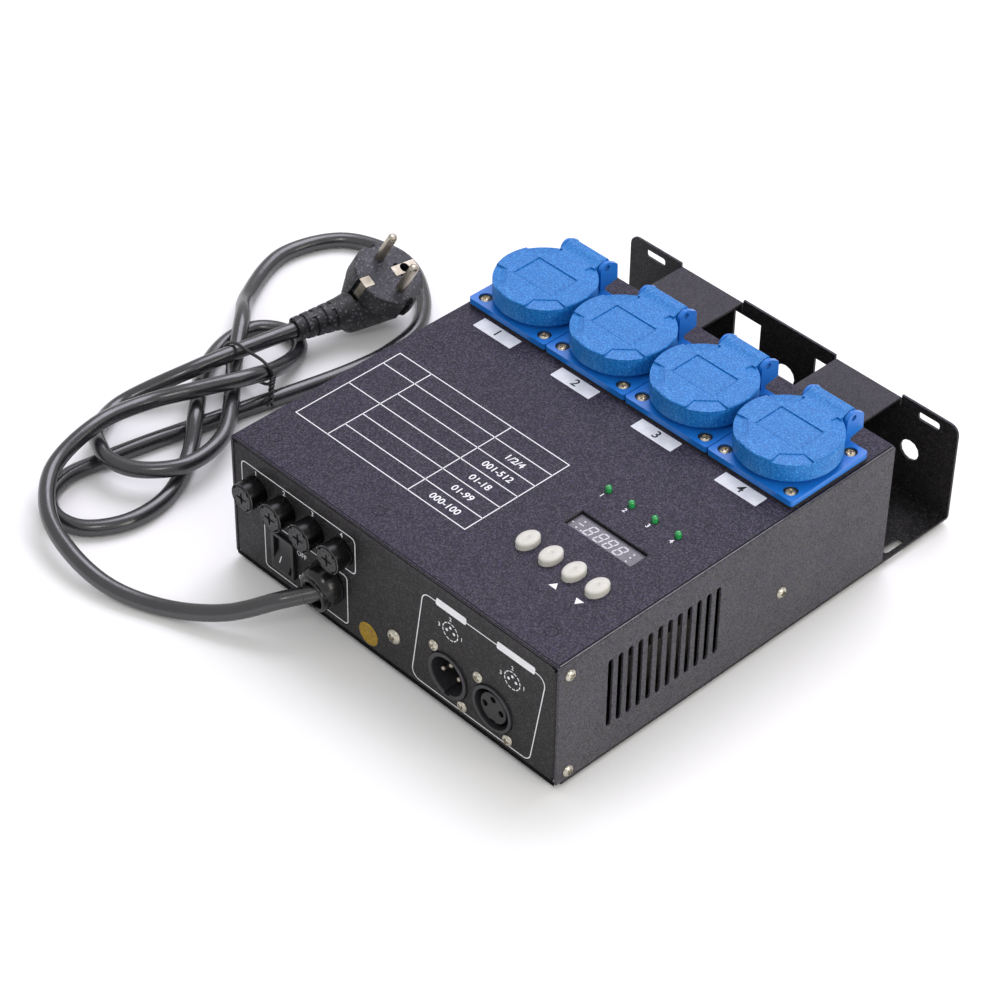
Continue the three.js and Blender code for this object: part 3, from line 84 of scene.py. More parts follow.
# Camera at the photograph's angle
view = {
    "spot": (755.25, -797.72, 954.79), "ahead": (-0.54486, 0.53454, -0.64606),
    "above": (-0.47211, 0.44119, 0.76320), "lens": 114.5, "sensor": 36, "near": 0.05, "far": 20,
}
cameraData = bpy.data.cameras.new("camera")
cameraData.lens = view["lens"]
cameraData.sensor_width = view["sensor"]
cameraData.clip_start = view["near"]
cameraData.clip_end = view["far"]
camera = linked("camera", cameraData)
back = -Vector(view["ahead"]).normalized()
above = Vector(view["above"])
above = (above - above.project(back)).normalized()
cameraAxes = Matrix((above.cross(back), above, back)).transposed()
camera.matrix_world = Matrix.Translation(Vector(view["spot"]) * mm) @ cameraAxes.to_4x4()
bpy.context.scene.camera = camera
print("camera placed")


# Materials: detail and seed of the noise behind each part of a finish, and which of its values count
noises = {"patch": (4, 1), "specks": (1, 3), "rough": (3, 7), "bumps": (2, 11)}
patchRange = (0.35, 0.65)
roughRange = (0.3, 0.7)
speckBlur = 0.08


def tint(code):
    parts = [int(code[i:i + 2], 16) / 255 for i in (1, 3, 5)]
    return (*[c / 12.92 if c <= 0.04045 else ((c + 0.055) / 1.055) ** 2.4 for c in parts], 1)


def addNode(tree, kind, settings, inputs):
    made = tree.nodes.new(kind)
    for key, value in settings.items():
        setattr(made, key, value)
    for key, value in inputs.items():
        if isinstance(value, bpy.types.NodeSocket):
            tree.links.new(value, made.inputs[key])
        else:
            made.inputs[key].default_value = value
    return made


def noise(tree, coords, kind, size, layer=0):
    detail, seed = noises[kind]
    inputs = {"Vector": coords, "Scale": 1 / (size * mm), "Detail": detail, "W": seed + layer}
    return addNode(tree, "ShaderNodeTexNoise", {"noise_dimensions": "4D"}, inputs).outputs["Fac"]


def ranged(tree, value, low, high, toLow=0, toHigh=1):
    inputs = {"Value": value, "From Min": low, "From Max": high, "To Min": toLow, "To Max": toHigh}
    return addNode(tree, "ShaderNodeMapRange", {}, inputs).outputs["Result"]


def mixed(tree, share, first, code):
    inputs = {0: share, 6: first, 7: tint(code)}
    return addNode(tree, "ShaderNodeMix", {"data_type": "RGBA"}, inputs).outputs[2]


def finish(name, colour, patch, rough, bumps, specks=(), slopes=(), metal=0, shine=0.5, sockets=()):
    material = bpy.data.materials.new(name)
    material.use_nodes = True
    tree = material.node_tree
    tree.nodes.clear()
    coords = addNode(tree, "ShaderNodeTexCoord", {}, {}).outputs["Object"]
    shade = tint(colour)
    # Slopes paint light and shade: a colour chosen by which way a face looks and how high it stands
    for start, end, code, low, high in slopes:
        surface = addNode(tree, "ShaderNodeNewGeometry", {}, {}).outputs
        rise, level = [addNode(tree, "ShaderNodeSeparateXYZ", {}, {"Vector": surface[key]}).outputs["Z"]
                       for key in ("Normal", "Position")]
        factors = {0: ranged(tree, rise, start, end), 1: ranged(tree, level, low * mm, high * mm)}
        share = addNode(tree, "ShaderNodeMath", {"operation": "MULTIPLY"}, factors).outputs["Value"]
        shade = mixed(tree, share, shade, code)
    code, size, share = patch
    cloud = ranged(tree, noise(tree, coords, "patch", size), *patchRange, 0, share)
    shade = mixed(tree, cloud, shade, code)
    for i, (code, size, edge, share) in enumerate(specks):
        grains = ranged(tree, noise(tree, coords, "specks", size, i), edge, edge + speckBlur, 0, share)
        shade = mixed(tree, grains, shade, code)
    middling, spread, size = rough
    waves = noise(tree, coords, "rough", size)
    inputs = {"Base Color": shade, "Metallic": metal, "Specular IOR Level": shine, **dict(sockets),
              "Roughness": ranged(tree, waves, *roughRange, middling - spread, middling + spread)}
    for i, (size, height) in enumerate(bumps):
        links = {"Height": noise(tree, coords, "bumps", size, i), "Distance": height * mm, "Strength": 1}
        if "Normal" in inputs:
            links["Normal"] = inputs["Normal"]
        inputs["Normal"] = addNode(tree, "ShaderNodeBump", {}, links).outputs["Normal"]
    shader = addNode(tree, "ShaderNodeBsdfPrincipled", {}, inputs)
    addNode(tree, "ShaderNodeOutputMaterial", {}, {"Surface": shader.outputs["BSDF"]})
    return material


# Sizes and heights in millimetres. patch: colour, size, share. rough: middle, spread, size.
# bumps: size, height. specks: colour, size, edge, share.
# slopes, which paint light and shade by which way a face looks: upward tilt from and to, colour, level from
# and to
recipes = {
    # Powder paint on sheet steel: a dull, finely grained neutral grey. The top is painted a darker purple
    # grey for the light from above, and the folds get a painted highlight and a painted shade line
    "cover_paint": dict(colour="#4b4b4c", patch=("#2a2830", 26, 0.25), rough=(0.5, 0.05, 6),
        bumps=[(0.55, 0.05), (1.6, 0.03)],
        specks=[("#67626e", 0.75, 0.5, 0.4), ("#121116", 0.8, 0.5, 0.5), ("#4a3c60", 1.2, 0.58, 0.35)],
        # Painted highlight and painted shade line on the folds, painted purple grey for the light on the top
        slopes=[(0.35, 0.55, "#8d8b90", 0, 1), (0.7, 0.85, "#17161d", 0, 1), (0.93, 0.99, "#2c2938", 0, 1)],
        shine=0.14),
    # The same powder paint in black on the folded tray: grained, with hardly any shine, and light and shade
    # painted on by its slopes
    "tray_paint": dict(colour="#1f1e1e", patch=("#1d1d1e", 26, 0.3), rough=(0.48, 0.05, 6),
        bumps=[(0.55, 0.045), (1.6, 0.03)],
        specks=[("#55555a", 0.75, 0.53, 0.34), ("#0e0e0f", 0.95, 0.52, 0.45), ("#3d2f33", 1.3, 0.58, 0.4)],
        # Painted light: lighter from 66 to 72 mm up, purple grey on faces looking up above 40 to 60 mm.
        # Painted shade: near black on faces looking down and on faces looking up below 36 to 40 mm.
        slopes=[(-2, -1.5, "#383639", 66, 72), (0.3, 0.9, "#35323f", 40, 60),
                (-0.05, -0.5, "#0b0b0c", -2, -1), (0.3, 0.9, "#0e0e0f", 40, 36)], shine=0.22),
    # Moulded polypropylene with a spark-eroded grain: soft sheen broken by fine light and dark specks
    "lid_plastic": dict(colour="#0f6db8", patch=("#0d66ad", 14, 0.4), rough=(0.46, 0.05, 4),
        bumps=[(0.5, 0.03), (3.5, 0.015)],
        specks=[("#4c9fe6", 0.65, 0.52, 0.45), ("#07458c", 0.7, 0.52, 0.45)], shine=0.34),
    # Moulded nylon, smoother and deeper blue than the lids
    "socket_plastic": dict(colour="#166fc8", patch=("#1366bb", 14, 0.4), rough=(0.34, 0.05, 4),
        bumps=[(0.5, 0.012), (3.5, 0.015)], specks=[("#3f93ea", 0.6, 0.6, 0.25)]),
    # Moulded ABS in black: even satin with small moulding waves
    "black_plastic": dict(colour="#161618", patch=("#101012", 9, 0.5), rough=(0.36, 0.08, 3),
        bumps=[(0.5, 0.015), (3, 0.02)], specks=[("#3a3a3e", 0.5, 0.64, 0.25)]),
    # Turned phenolic: deep black with a soft broad highlight
    "fuse_barrel": dict(colour="#070708", patch=("#0d0d0e", 5, 0.5), rough=(0.24, 0.05, 2),
        bumps=[(0.6, 0.01), (2.5, 0.02)], shine=0.3),
    # Painted shade: a matt near-black for the shade in the ring round a pressed stud and along the top's
    # folds
    "painted_shade": dict(colour="#131218", patch=("#1c1a22", 1.5, 0.6), rough=(0.6, 0.05, 3),
        bumps=[(0.5, 0.02)], shine=0.1),
    # Painted highlight: a lighter grey along the fold for the light it catches, broken into short lengths
    "painted_highlight": dict(colour="#69686c", patch=("#3a393d", 3, 0.8), rough=(0.4, 0.05, 3),
        bumps=[(0.5, 0.02)]),
    # Painted shade: almost black, for the shade along the cover's front edge, in the seam below it and along
    # the bottom fold
    "painted_seam_shade": dict(colour="#060607", patch=("#0c0c0d", 4, 0.6), rough=(0.6, 0.05, 3),
        bumps=[(0.5, 0.02)], shine=0.05),
    # Painted highlight: a mid grey ring for the light caught on the fuse holders' phenolic edge
    "painted_rim_highlight": dict(colour="#5c5c5f", patch=("#161618", 3, 0.9), rough=(0.25, 0.05, 2),
        bumps=[(0.5, 0.02)]),
    # Moulded phenolic cap face: dark grey, lightly grained
    "fuse_cap": dict(colour="#2b2b2c", patch=("#232324", 2, 0.6), rough=(0.42, 0.06, 2),
        bumps=[(0.5, 0.02)], specks=[("#4c4c4e", 0.5, 0.64, 0.3)]),
    # Moulded nylon gland with a glossy skin
    "polished_nylon": dict(colour="#121214", patch=("#1a1a1c", 3, 0.5), rough=(0.2, 0.05, 2),
        bumps=[(0.6, 0.02)]),
    # Soft moulded PVC with light scuff specks; the face that looks up is painted a bluish grey for the light
    # from above
    "plug_plastic": dict(colour="#212124", patch=("#17171a", 5, 0.7), rough=(0.5, 0.1, 3),
        bumps=[(0.8, 0.06), (3, 0.05)], specks=[("#85858f", 1.4, 0.58, 0.45), ("#0e0e10", 1.3, 0.55, 0.5)],
        # Painted light: a bluish grey on the face that looks up only
        slopes=[(0.84, 0.87, "#3f3f4a", 25, 26), (0.89, 0.91, "#212124", 0, 1)]),
    # Extruded PVC sheath: long bright streaks over slight waves of the core
    "cord_sheath": dict(colour="#202023", patch=("#2a2a2e", 12, 0.5), rough=(0.25, 0.06, 5),
        bumps=[(1.1, 0.02), (6, 0.06)], shine=0.95),
    # Moulded rubber: matt and slightly dusty
    "black_rubber": dict(colour="#1b1b1c", patch=("#232324", 5, 0.6), rough=(0.75, 0.08, 3),
        bumps=[(0.6, 0.04)]),
    # Bright zinc plating on steel screws, with faint yellow clouds
    "zinc": dict(colour="#c9c4b6", patch=("#a9a498", 2.5, 0.6), rough=(0.3, 0.1, 1.5), bumps=[(0.5, 0.02)],
        metal=1),
    # Worn nickel plating on brass pins and clips
    "nickel": dict(colour="#bdb6a8", patch=("#8e8371", 5, 0.7), rough=(0.36, 0.1, 2), bumps=[(0.7, 0.03)],
        metal=1),
    # Nickel-plated brass screw with the yellow showing through
    "screw_brass": dict(colour="#d6cdb8", patch=("#ab9a76", 1.4, 0.6), rough=(0.38, 0.1, 1),
        bumps=[(0.5, 0.03)], metal=1),
    # Embossed gold foil sticker: broken warm reflections
    "gold_foil": dict(colour="#b8962f", patch=("#927220", 1.6, 0.8), rough=(0.42, 0.12, 1),
        bumps=[(0.8, 0.04)], metal=0.7),
    # Moulded ivory ABS, satin, with faint dust specks
    "button_plastic": dict(colour="#c6c4bd", patch=("#bab8b1", 4, 0.6), rough=(0.5, 0.06, 2),
        bumps=[(0.3, 0.012)], specks=[("#b9b6ae", 0.35, 0.66, 0.4)]),
    # Diffused green acrylic over an unlit diode
    "green_lens": dict(colour="#1f8f48", patch=("#2fb55e", 1.6, 0.6), rough=(0.14, 0.04, 2),
        bumps=[(0.8, 0.01)],
        sockets={"Coat Weight": 0.6, "Subsurface Weight": 0.3, "Subsurface Scale": 0.002}),
    # Screen-printed white ink, flat and slightly uneven
    "white_ink": dict(colour="#e9e9ec", patch=("#d8d8dc", 3, 0.6), rough=(0.6, 0.05, 2),
        bumps=[(0.4, 0.01)]),
    # Printed black ink
    "black_ink": dict(colour="#19191b", patch=("#242427", 2, 0.6), rough=(0.55, 0.05, 2),
        bumps=[(0.4, 0.01)]),
    # Silver polyester film with a pale, wavy sheen
    "label_film": dict(colour="#d9dbe1", patch=("#c3c6ce", 5, 0.7), rough=(0.4, 0.06, 3),
        bumps=[(0.6, 0.008), (5, 0.03)]),
    # Unlit display behind tinted acrylic: dusty grey
    "display_glass": dict(colour="#58565f", patch=("#4e4c55", 5, 0.6), rough=(0.34, 0.05, 3),
        bumps=[(0.8, 0.006)], specks=[("#76747e", 0.6, 0.6, 0.35)]),
    # Unlit segment, paler than the glass round it
    "display_segment": dict(colour="#c4c2ca", patch=("#b4b2ba", 1.5, 0.6), rough=(0.35, 0.05, 1),
        bumps=[(0.4, 0.004)]),
    # Moulded ABS frame, nearly black
    "display_case": dict(colour="#17171a", patch=("#202024", 5, 0.5), rough=(0.4, 0.05, 3),
        bumps=[(0.6, 0.01)]),
    # Die-cast zinc with black oxide: dark, slightly metallic grain
    "connector_shell": dict(colour="#38383b", patch=("#2e2e31", 3, 0.6), rough=(0.42, 0.08, 2),
        bumps=[(0.6, 0.02)], specks=[("#5d5d62", 0.4, 0.63, 0.3)], metal=0.35),
    # Solder mask over copper: glossy green with specks of bare tin
    "board_mask": dict(colour="#1d5a34", patch=("#184d2c", 9, 0.6), rough=(0.4, 0.06, 4),
        bumps=[(1.2, 0.02)], specks=[("#9a8f55", 1.1, 0.68, 0.6)]),
    # Extruded aluminium, unpainted
    "bare_aluminium": dict(colour="#a9adb1", patch=("#989ca1", 8, 0.6), rough=(0.4, 0.08, 3),
        bumps=[(0.5, 0.01)], metal=1),
    # Varnished transformer laminations, brownish and dull
    "core_steel": dict(colour="#5b5752", patch=("#6b655d", 5, 0.6), rough=(0.5, 0.1, 2),
        bumps=[(0.6, 0.03)], metal=0.8),
    # Clear glass tube
    "fuse_glass": dict(colour="#cfd6d6", patch=("#c2c9c9", 3, 0.5), rough=(0.1, 0.03, 2),
        bumps=[(1, 0.004)], sockets={"Transmission Weight": 0.6}),
}
looks = {name: finish(name, **recipe) for name, recipe in recipes.items()}
print("materials made")


# Edges of the CAD nodes are broken slightly and their curves shaded smooth.
# Lengths in metres, angles in degrees
edges = {"weld": 0.00001, "flat": 0.5, "bevelFrom": 50, "sharpFrom": 32, "segments": 2}


def smoothing():
    tree = bpy.data.node_groups.new("smoothing", "GeometryNodeTree")
    for way in ("INPUT", "OUTPUT"):
        tree.interface.new_socket("Geometry", in_out=way, socket_type="NodeSocketGeometry")
    start = addNode(tree, "NodeGroupInput", {}, {}).outputs[0]
    bare = addNode(tree, "GeometryNodeRemoveAttribute", {}, {"Geometry": start, "Name": "custom_normal"})
    faces = addNode(tree, "GeometryNodeSetShadeSmooth", {}, {"Geometry": bare.outputs["Geometry"]})
    angle = addNode(tree, "GeometryNodeInputMeshEdgeAngle", {}, {}).outputs["Unsigned Angle"]
    sharp = addNode(tree, "FunctionNodeCompare", {}, {"A": angle, "B": radians(edges["sharpFrom"])})
    split = addNode(tree, "GeometryNodeSetShadeSmooth", {"domain": "EDGE"},
                    {"Geometry": faces.outputs["Geometry"], "Selection": sharp.outputs["Result"],
                     "Shade Smooth": False})
    addNode(tree, "NodeGroupOutput", {}, {0: split.outputs["Geometry"]})
    return tree


smoothTree = smoothing()


def bevelled(obj, width, fromAngle):
    bevel = obj.modifiers.new("edges", "BEVEL")
    bevel.width = width * mm
    bevel.segments = edges["segments"]
    bevel.limit_method = "ANGLE"
    bevel.angle_limit = radians(fromAngle)


def evened(obj):
    obj.modifiers.new("even", "WEIGHTED_NORMAL").keep_sharp = True


def soften(obj, width):
    obj.modifiers.new("weld", "WELD").merge_threshold = edges["weld"]
    flat = obj.modifiers.new("flat", "DECIMATE")
    flat.decimate_type = "DISSOLVE"
    flat.angle_limit = radians(edges["flat"])
    if width:
        bevelled(obj, width, edges["bevelFrom"])
    obj.modifiers.new("smooth", "NODES").node_group = smoothTree
    evened(obj)


cadLooks = {
    "top_cover": ("cover_paint", 0.3), "chassis_tray": ("tray_paint", 0.25),
    "rear_panel": ("tray_paint", 0.25), "foot": ("black_rubber", 0.3),
    "socket_gasket": ("black_rubber", 0.15), "socket_body": ("socket_plastic", 0.2),
    "socket_earth_clip": ("nickel", 0.1), "socket_lid": ("lid_plastic", 0.2),
    "socket_hinge_pin": ("zinc", 0.1), "fuse_holder": ("black_plastic", 0.15),
    "fuse_cap": ("black_plastic", 0.15), "fuse": ("fuse_glass", 0.1),
    "rocker_frame": ("black_plastic", 0.3), "rocker": ("black_plastic", 0.3),
    "connector_in": ("connector_shell", 0.15), "connector_out": ("connector_shell", 0.15),
    "display": ("display_case", 0.1), "button": ("button_plastic", 0.2),
    "light": ("green_lens", 0.1), "control_board": ("board_mask", 0.1),
    "power_board": ("board_mask", 0.1), "heatsink": ("bare_aluminium", 0.1),
    "transformer": ("core_steel", 0.3), "cord": ("cord_sheath", 0),
    "cable_gland": ("black_plastic", 0.2), "plug": ("plug_plastic", 0.2),
    "cord_tie": ("black_plastic", 0),
}
for name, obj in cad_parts.items():
    kind = name if name in cadLooks else name.rsplit("_", 1)[0]
    look, width = cadLooks[kind]
    obj.data.materials.clear()
    obj.data.materials.append(looks[look])
    soften(obj, width)
print("CAD nodes finished")


# Lead: route points from the left front corner of the box, heights from the table
cord = {
    "radius": 4, "step": 2.5, "route": [
        (61, -12.5, 24), (56.3, -18.8, 22.5), (54.6, -21.2, 22), (36, -35.5, 11.5), (9.5, -49, 5),
        (-17.5, -59, 6), (-45, -60, 10.4), (-70.5, -52, 13.4), (-90.5, -33, 16.5), (-96, -3, 22.1),
        (-95.5, 26.5, 19.6), (-84.5, 48, 22), (-75.5, 71.5, 21.8), (-80.5, 95, 12.5),
        (-88.2, 113.1, 6.8), (-97, 121.8, 4.8), (-109.2, 122.9, 4.2), (-119.2, 115.8, 4.2),
        (-122.4, 104, 4.2), (-119, 88, 4.2), (-105.5, 67, 6.4), (-84.5, 47.5, 12.9), (-78, 41, 12.8),
        (-66, 27, 5.4), (-50, 0, 4.3), (-49, -24.5, 4.2), (-60, -42, 4.2), (-74.5, -45.5, 4.2),
        (-87, -39, 4.2), (-93.3, -25, 4.2), (-91.5, -6, 4.2), (-87.5, 17, 4.2), (-76, 66.5, 4.2),
        (-62.5, 128.5, 4.2), (-61.5, 151, 4.2), (-67, 174, 4.2), (-85, 193.5, 4.2),
        (-113, 206, 4.2), (-146, 196, 4.2), (-158, 165, 4.2), (-141.5, 127, 5.8),
        (-121.5, 107, 13.3), (-99, 82.3, 7.7), (-81.5, 67, 13.1), (-57, 39, 12.9),
        (-53.5, 13.5, 13.4), (-67.5, -4.5, 13.2), (-82, -8.5, 13.3), (-91, -5.8, 13.4),
        (-105.5, 3.5, 8.4), (-118, 25.5, 4.8), (-103.5, 63.5, 16.2), (-96.7, 106.7, 15.9),
        (-96.1, 109.7, 15.9), (-94.5, 117.5, 15.9),
    ],
}
# Wire tie: a loop in one upright plane, and a tail whose ends are given as x, way from the plane, height
tie = {
    "row": 84, "radius": 0.8, "step": 1, "loop": [
        (-100, 22.4), (-89, 23), (-78.5, 23.3), (-73.4, 21.4), (-72, 17), (-75.5, 11.1), (-87, 7.4),
        (-94, 3.2), (-103, 2.9), (-108.4, 8.5), (-106.6, 17.2),
    ],
    "tail": [(-71.4, 0, 17.6), (-63.5, -9, 9.5)], "tailRadius": 0.75, "tailSteps": 60, "sag": 2.2,
    "halfTurns": 7, "spread": 0.82, "flare": 2.2, "flareFrom": 0.82,
}
curveResolution = 6


def fromTable(x, y, height):
    return place(x, y, height - tableDrop)


# Centripetal curve through the points
def flowing(points, closed, step):
    count = len(points)

    def at(i):
        if closed:
            return points[i % count]
        if i < 0:
            return points[0] * 2 - points[1]
        if i >= count:
            return points[-1] * 2 - points[-2]
        return points[i]

    made = []
    for i in range(count if closed else count - 1):
        a, b, c, d = at(i - 1), at(i), at(i + 1), at(i + 2)
        t1 = sqrt((b - a).length)
        t2 = t1 + sqrt((c - b).length)
        t3 = t2 + sqrt((d - c).length)
        steps = max(2, ceil((c - b).length / step))
        for k in range(steps):
            t = t1 + (t2 - t1) * k / steps
            ab = a.lerp(b, t / t1)
            bc = b.lerp(c, (t - t1) / (t2 - t1))
            cd = c.lerp(d, (t - t2) / (t3 - t2))
            first, last = ab.lerp(bc, t / t2), bc.lerp(cd, (t - t1) / (t3 - t1))
            made.append(first.lerp(last, (t - t1) / (t2 - t1)))
    if not closed:
        made.append(points[-1].copy())
    return made


def wire(name, splines, radius, look, closed=False):
    data = bpy.data.curves.new(name, "CURVE")
    data.dimensions = "3D"
    data.bevel_depth = radius * mm
    data.bevel_resolution = curveResolution
    data.use_fill_caps = True
    for points in splines:
        spline = data.splines.new("POLY")
        spline.points.add(len(points) - 1)
        for point, spot in zip(spline.points, points):
            point.co = (*spot, 1)
        spline.use_cyclic_u = closed
        spline.use_smooth = True
    data.materials.append(looks[look])
    return linked(name, data)


routePoints = [fromTable(*point) for point in cord["route"]]
cordPath = flowing(routePoints, False, cord["step"] * mm)
lead = wire("mains_lead", [cordPath], cord["radius"], "cord_sheath")
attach(lead, "base")
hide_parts("cord")
tiePath = flowing([fromTable(x, tie["row"], h) for x, h in tie["loop"]], True, tie["step"] * mm)
tieLoop = wire("tie_loop", [tiePath], tie["radius"], "black_plastic", closed=True)
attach(tieLoop, "base")
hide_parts("cord_tie")

# Shapes in millimetres about their own origin; past is how far a cut runs beyond the face that it opens
past = 2
signs = (-1, 1)
shapeWeld = 0.000002
shapeSharp = 32
bevelFrom = 40


def meshOf(points, faces):
    mesh = bpy.data.meshes.new("shape")
    mesh.from_pydata([tuple(point) for point in points], [], faces)
    return mesh


def turned(profile, sides):
    points, rings = [], []
    for radius, along in profile:
        if not radius:
            rings.append([len(points)])
            points.append((0, 0, along))
            continue
        rings.append(list(range(len(points), len(points) + sides)))
        for k in range(sides):
            angle = 2 * pi * (k + 0.5) / sides
            points.append((cos(angle) * radius, sin(angle) * radius, along))
    faces = []
    for low, high in zip(rings, rings[1:]):
        for k in range(sides):
            n = (k + 1) % sides
            if len(low) == 1 and len(high) > 1:
                faces.append((low[0], high[n], high[k]))
            elif len(high) == 1 and len(low) > 1:
                faces.append((low[k], low[n], high[0]))
            elif len(low) > 1:
                faces.append((low[k], low[n], high[n], high[k]))
    return meshOf(points, faces)


def rod(radius, low, high, sides):
    return turned([(0, low), (radius, low), (radius, high), (0, high)], sides)


def prism(outline, low, high):
    count = len(outline)
    points = [(x, y, low) for x, y in outline] + [(x, y, high) for x, y in outline]
    faces = [tuple(reversed(range(count))), tuple(range(count, 2 * count))]
    faces += [(k, (k + 1) % count, count + (k + 1) % count, count + k) for k in range(count)]
    return meshOf(points, faces)


def block(left, right, front, back, low, high):
    return prism([(left, front), (right, front), (right, back), (left, back)], low, high)


def sided(sign, near, far):
    return sorted((sign * near, sign * far))


def quarter(steps):
    return [pi / 2 * i / steps for i in range(steps + 1)]


def circle(x, y, radius, steps=36):
    angles = [2 * pi * k / steps for k in range(steps)]
    return [(x + cos(a) * radius, y + sin(a) * radius) for a in angles]


def nut(radius, low, high):
    return prism(circle(0, 0, radius, 6), low, high)


def cornered(width, height, radius, steps=6):
    made = []
    for i, (a, b) in enumerate([(1, 1), (-1, 1), (-1, -1), (1, -1)]):
        for k in range(steps + 1):
            angle = pi / 2 * (i + k / steps)
            made.append((a * (width / 2 - radius) + cos(angle) * radius,
                         b * (height / 2 - radius) + sin(angle) * radius))
    return made


def moved(mesh, matrix):
    mesh.transform(matrix)
    return mesh


def shifted(mesh, x=0, y=0, z=0):
    return moved(mesh, Matrix.Translation((x, y, z)))


def spun(mesh, degrees, axis="Z"):
    return moved(mesh, spin(degrees, axis))


def merged(meshes):
    whole = bmesh.new()
    for mesh in meshes:
        whole.from_mesh(mesh)
    made = bpy.data.meshes.new("shape")
    whole.to_mesh(made)
    whole.free()
    return made


def evaluated(obj):
    return bpy.data.meshes.new_from_object(obj.evaluated_get(bpy.context.evaluated_depsgraph_get()))


def carved(base, cuts=(), joins=()):
    main = linked("work", base)
    helpers = []
    for operation, meshes in (("UNION", joins), ("DIFFERENCE", cuts)):
        for mesh in meshes:
            helpers.append(linked("work", mesh))
            modifier = main.modifiers.new("carve", "BOOLEAN")
            modifier.operation = operation
            modifier.object = helpers[-1]
            modifier.solver = "EXACT"
    bpy.context.view_layer.update()
    made = evaluated(main)
    for helper in [*helpers, main]:
        bpy.data.objects.remove(helper)
    return made


def dressed(mesh, look, edge=0, angle=shapeSharp):
    mesh.transform(Matrix.Scale(mm, 4))
    welder = bmesh.new()
    welder.from_mesh(mesh)
    bmesh.ops.remove_doubles(welder, verts=welder.verts, dist=shapeWeld)
    bmesh.ops.recalc_face_normals(welder, faces=welder.faces)
    welder.to_mesh(mesh)
    welder.free()
    mesh.materials.clear()
    mesh.materials.append(looks[look])
    mesh.shade_smooth()
    mesh.set_sharp_from_angle(angle=radians(angle))
    mesh["edge"] = edge
    return mesh


def put(name, mesh, matrix=Matrix.Identity(4), stands=(), body="base"):
    obj = linked(name, mesh)
    obj.matrix_world = matrix
    if mesh["edge"]:
        bevelled(obj, mesh["edge"], bevelFrom)
        evened(obj)
    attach(obj, body)
    if stands:
        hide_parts(*stands)


# Lids with raised corners, a sunk field and a hinge plate
lid = {
    "radius": 24.5, "wall": 3, "bottom": 6.9, "top": 17.4, "disc": 2.4, "fillet": 0.7, "sides": 112,
    "chamfer": 0.3, "coving": 0.6, "field": (24.8, 16.8), "fieldSink": 0.5, "lip": 0.35,
    "facetStart": 18, "facetInner": 10.8, "facetOuter": 21.5, "shallow": 0.5, "deep": 1.5,
    "inset": 24.15, "insetFrom": 1.2, "sweep": 26, "sweepSteps": 8,
    "pivot": (26.7, 16), "pinRadius": 1.4, "pinHalf": 12,
    "plateHalf": 11.2, "plateTop": 19, "plateStart": 20.5, "plateBack": 28.3, "plateFoot": 13.5,
    "plateRound": 2, "rampEnd": 27.5, "rampSink": 0.02, "ramp": [0.85, 0.7, 0.55, 0.4, 0.25, 0.12, 0],
    "web": (20.6, 22.6, 13.6), "lipLevels": (-0.3, 0.12),
}
# Turns a profile drawn along y and z so that its prism runs along x
alongX = Matrix(((0, 0, 1, 0), (1, 0, 0, 0), (0, 1, 0, 0), (0, 0, 0, 1)))


def lidPlate():
    top, plateTop, foot = lid["top"], lid["plateTop"], lid["plateFoot"]
    start, end, bend, sunk = lid["plateStart"], lid["plateBack"], lid["plateRound"], lid["rampSink"]
    outline = [(start, foot), (end, foot)]
    outline += [(end + sin(a) * bend, foot + bend - cos(a) * bend) for a in quarter(4)[1:]]
    outline += [(end + cos(a) * bend, plateTop - bend + sin(a) * bend) for a in quarter(4)]
    outline.append((lid["rampEnd"], plateTop))
    for t in lid["ramp"]:
        rise = (plateTop - top + sunk) * t * t * (3 - 2 * t)
        outline.append((start + (lid["rampEnd"] - start) * t, top - sunk + rise))
    return moved(prism(outline, -lid["plateHalf"], lid["plateHalf"]), alongX)


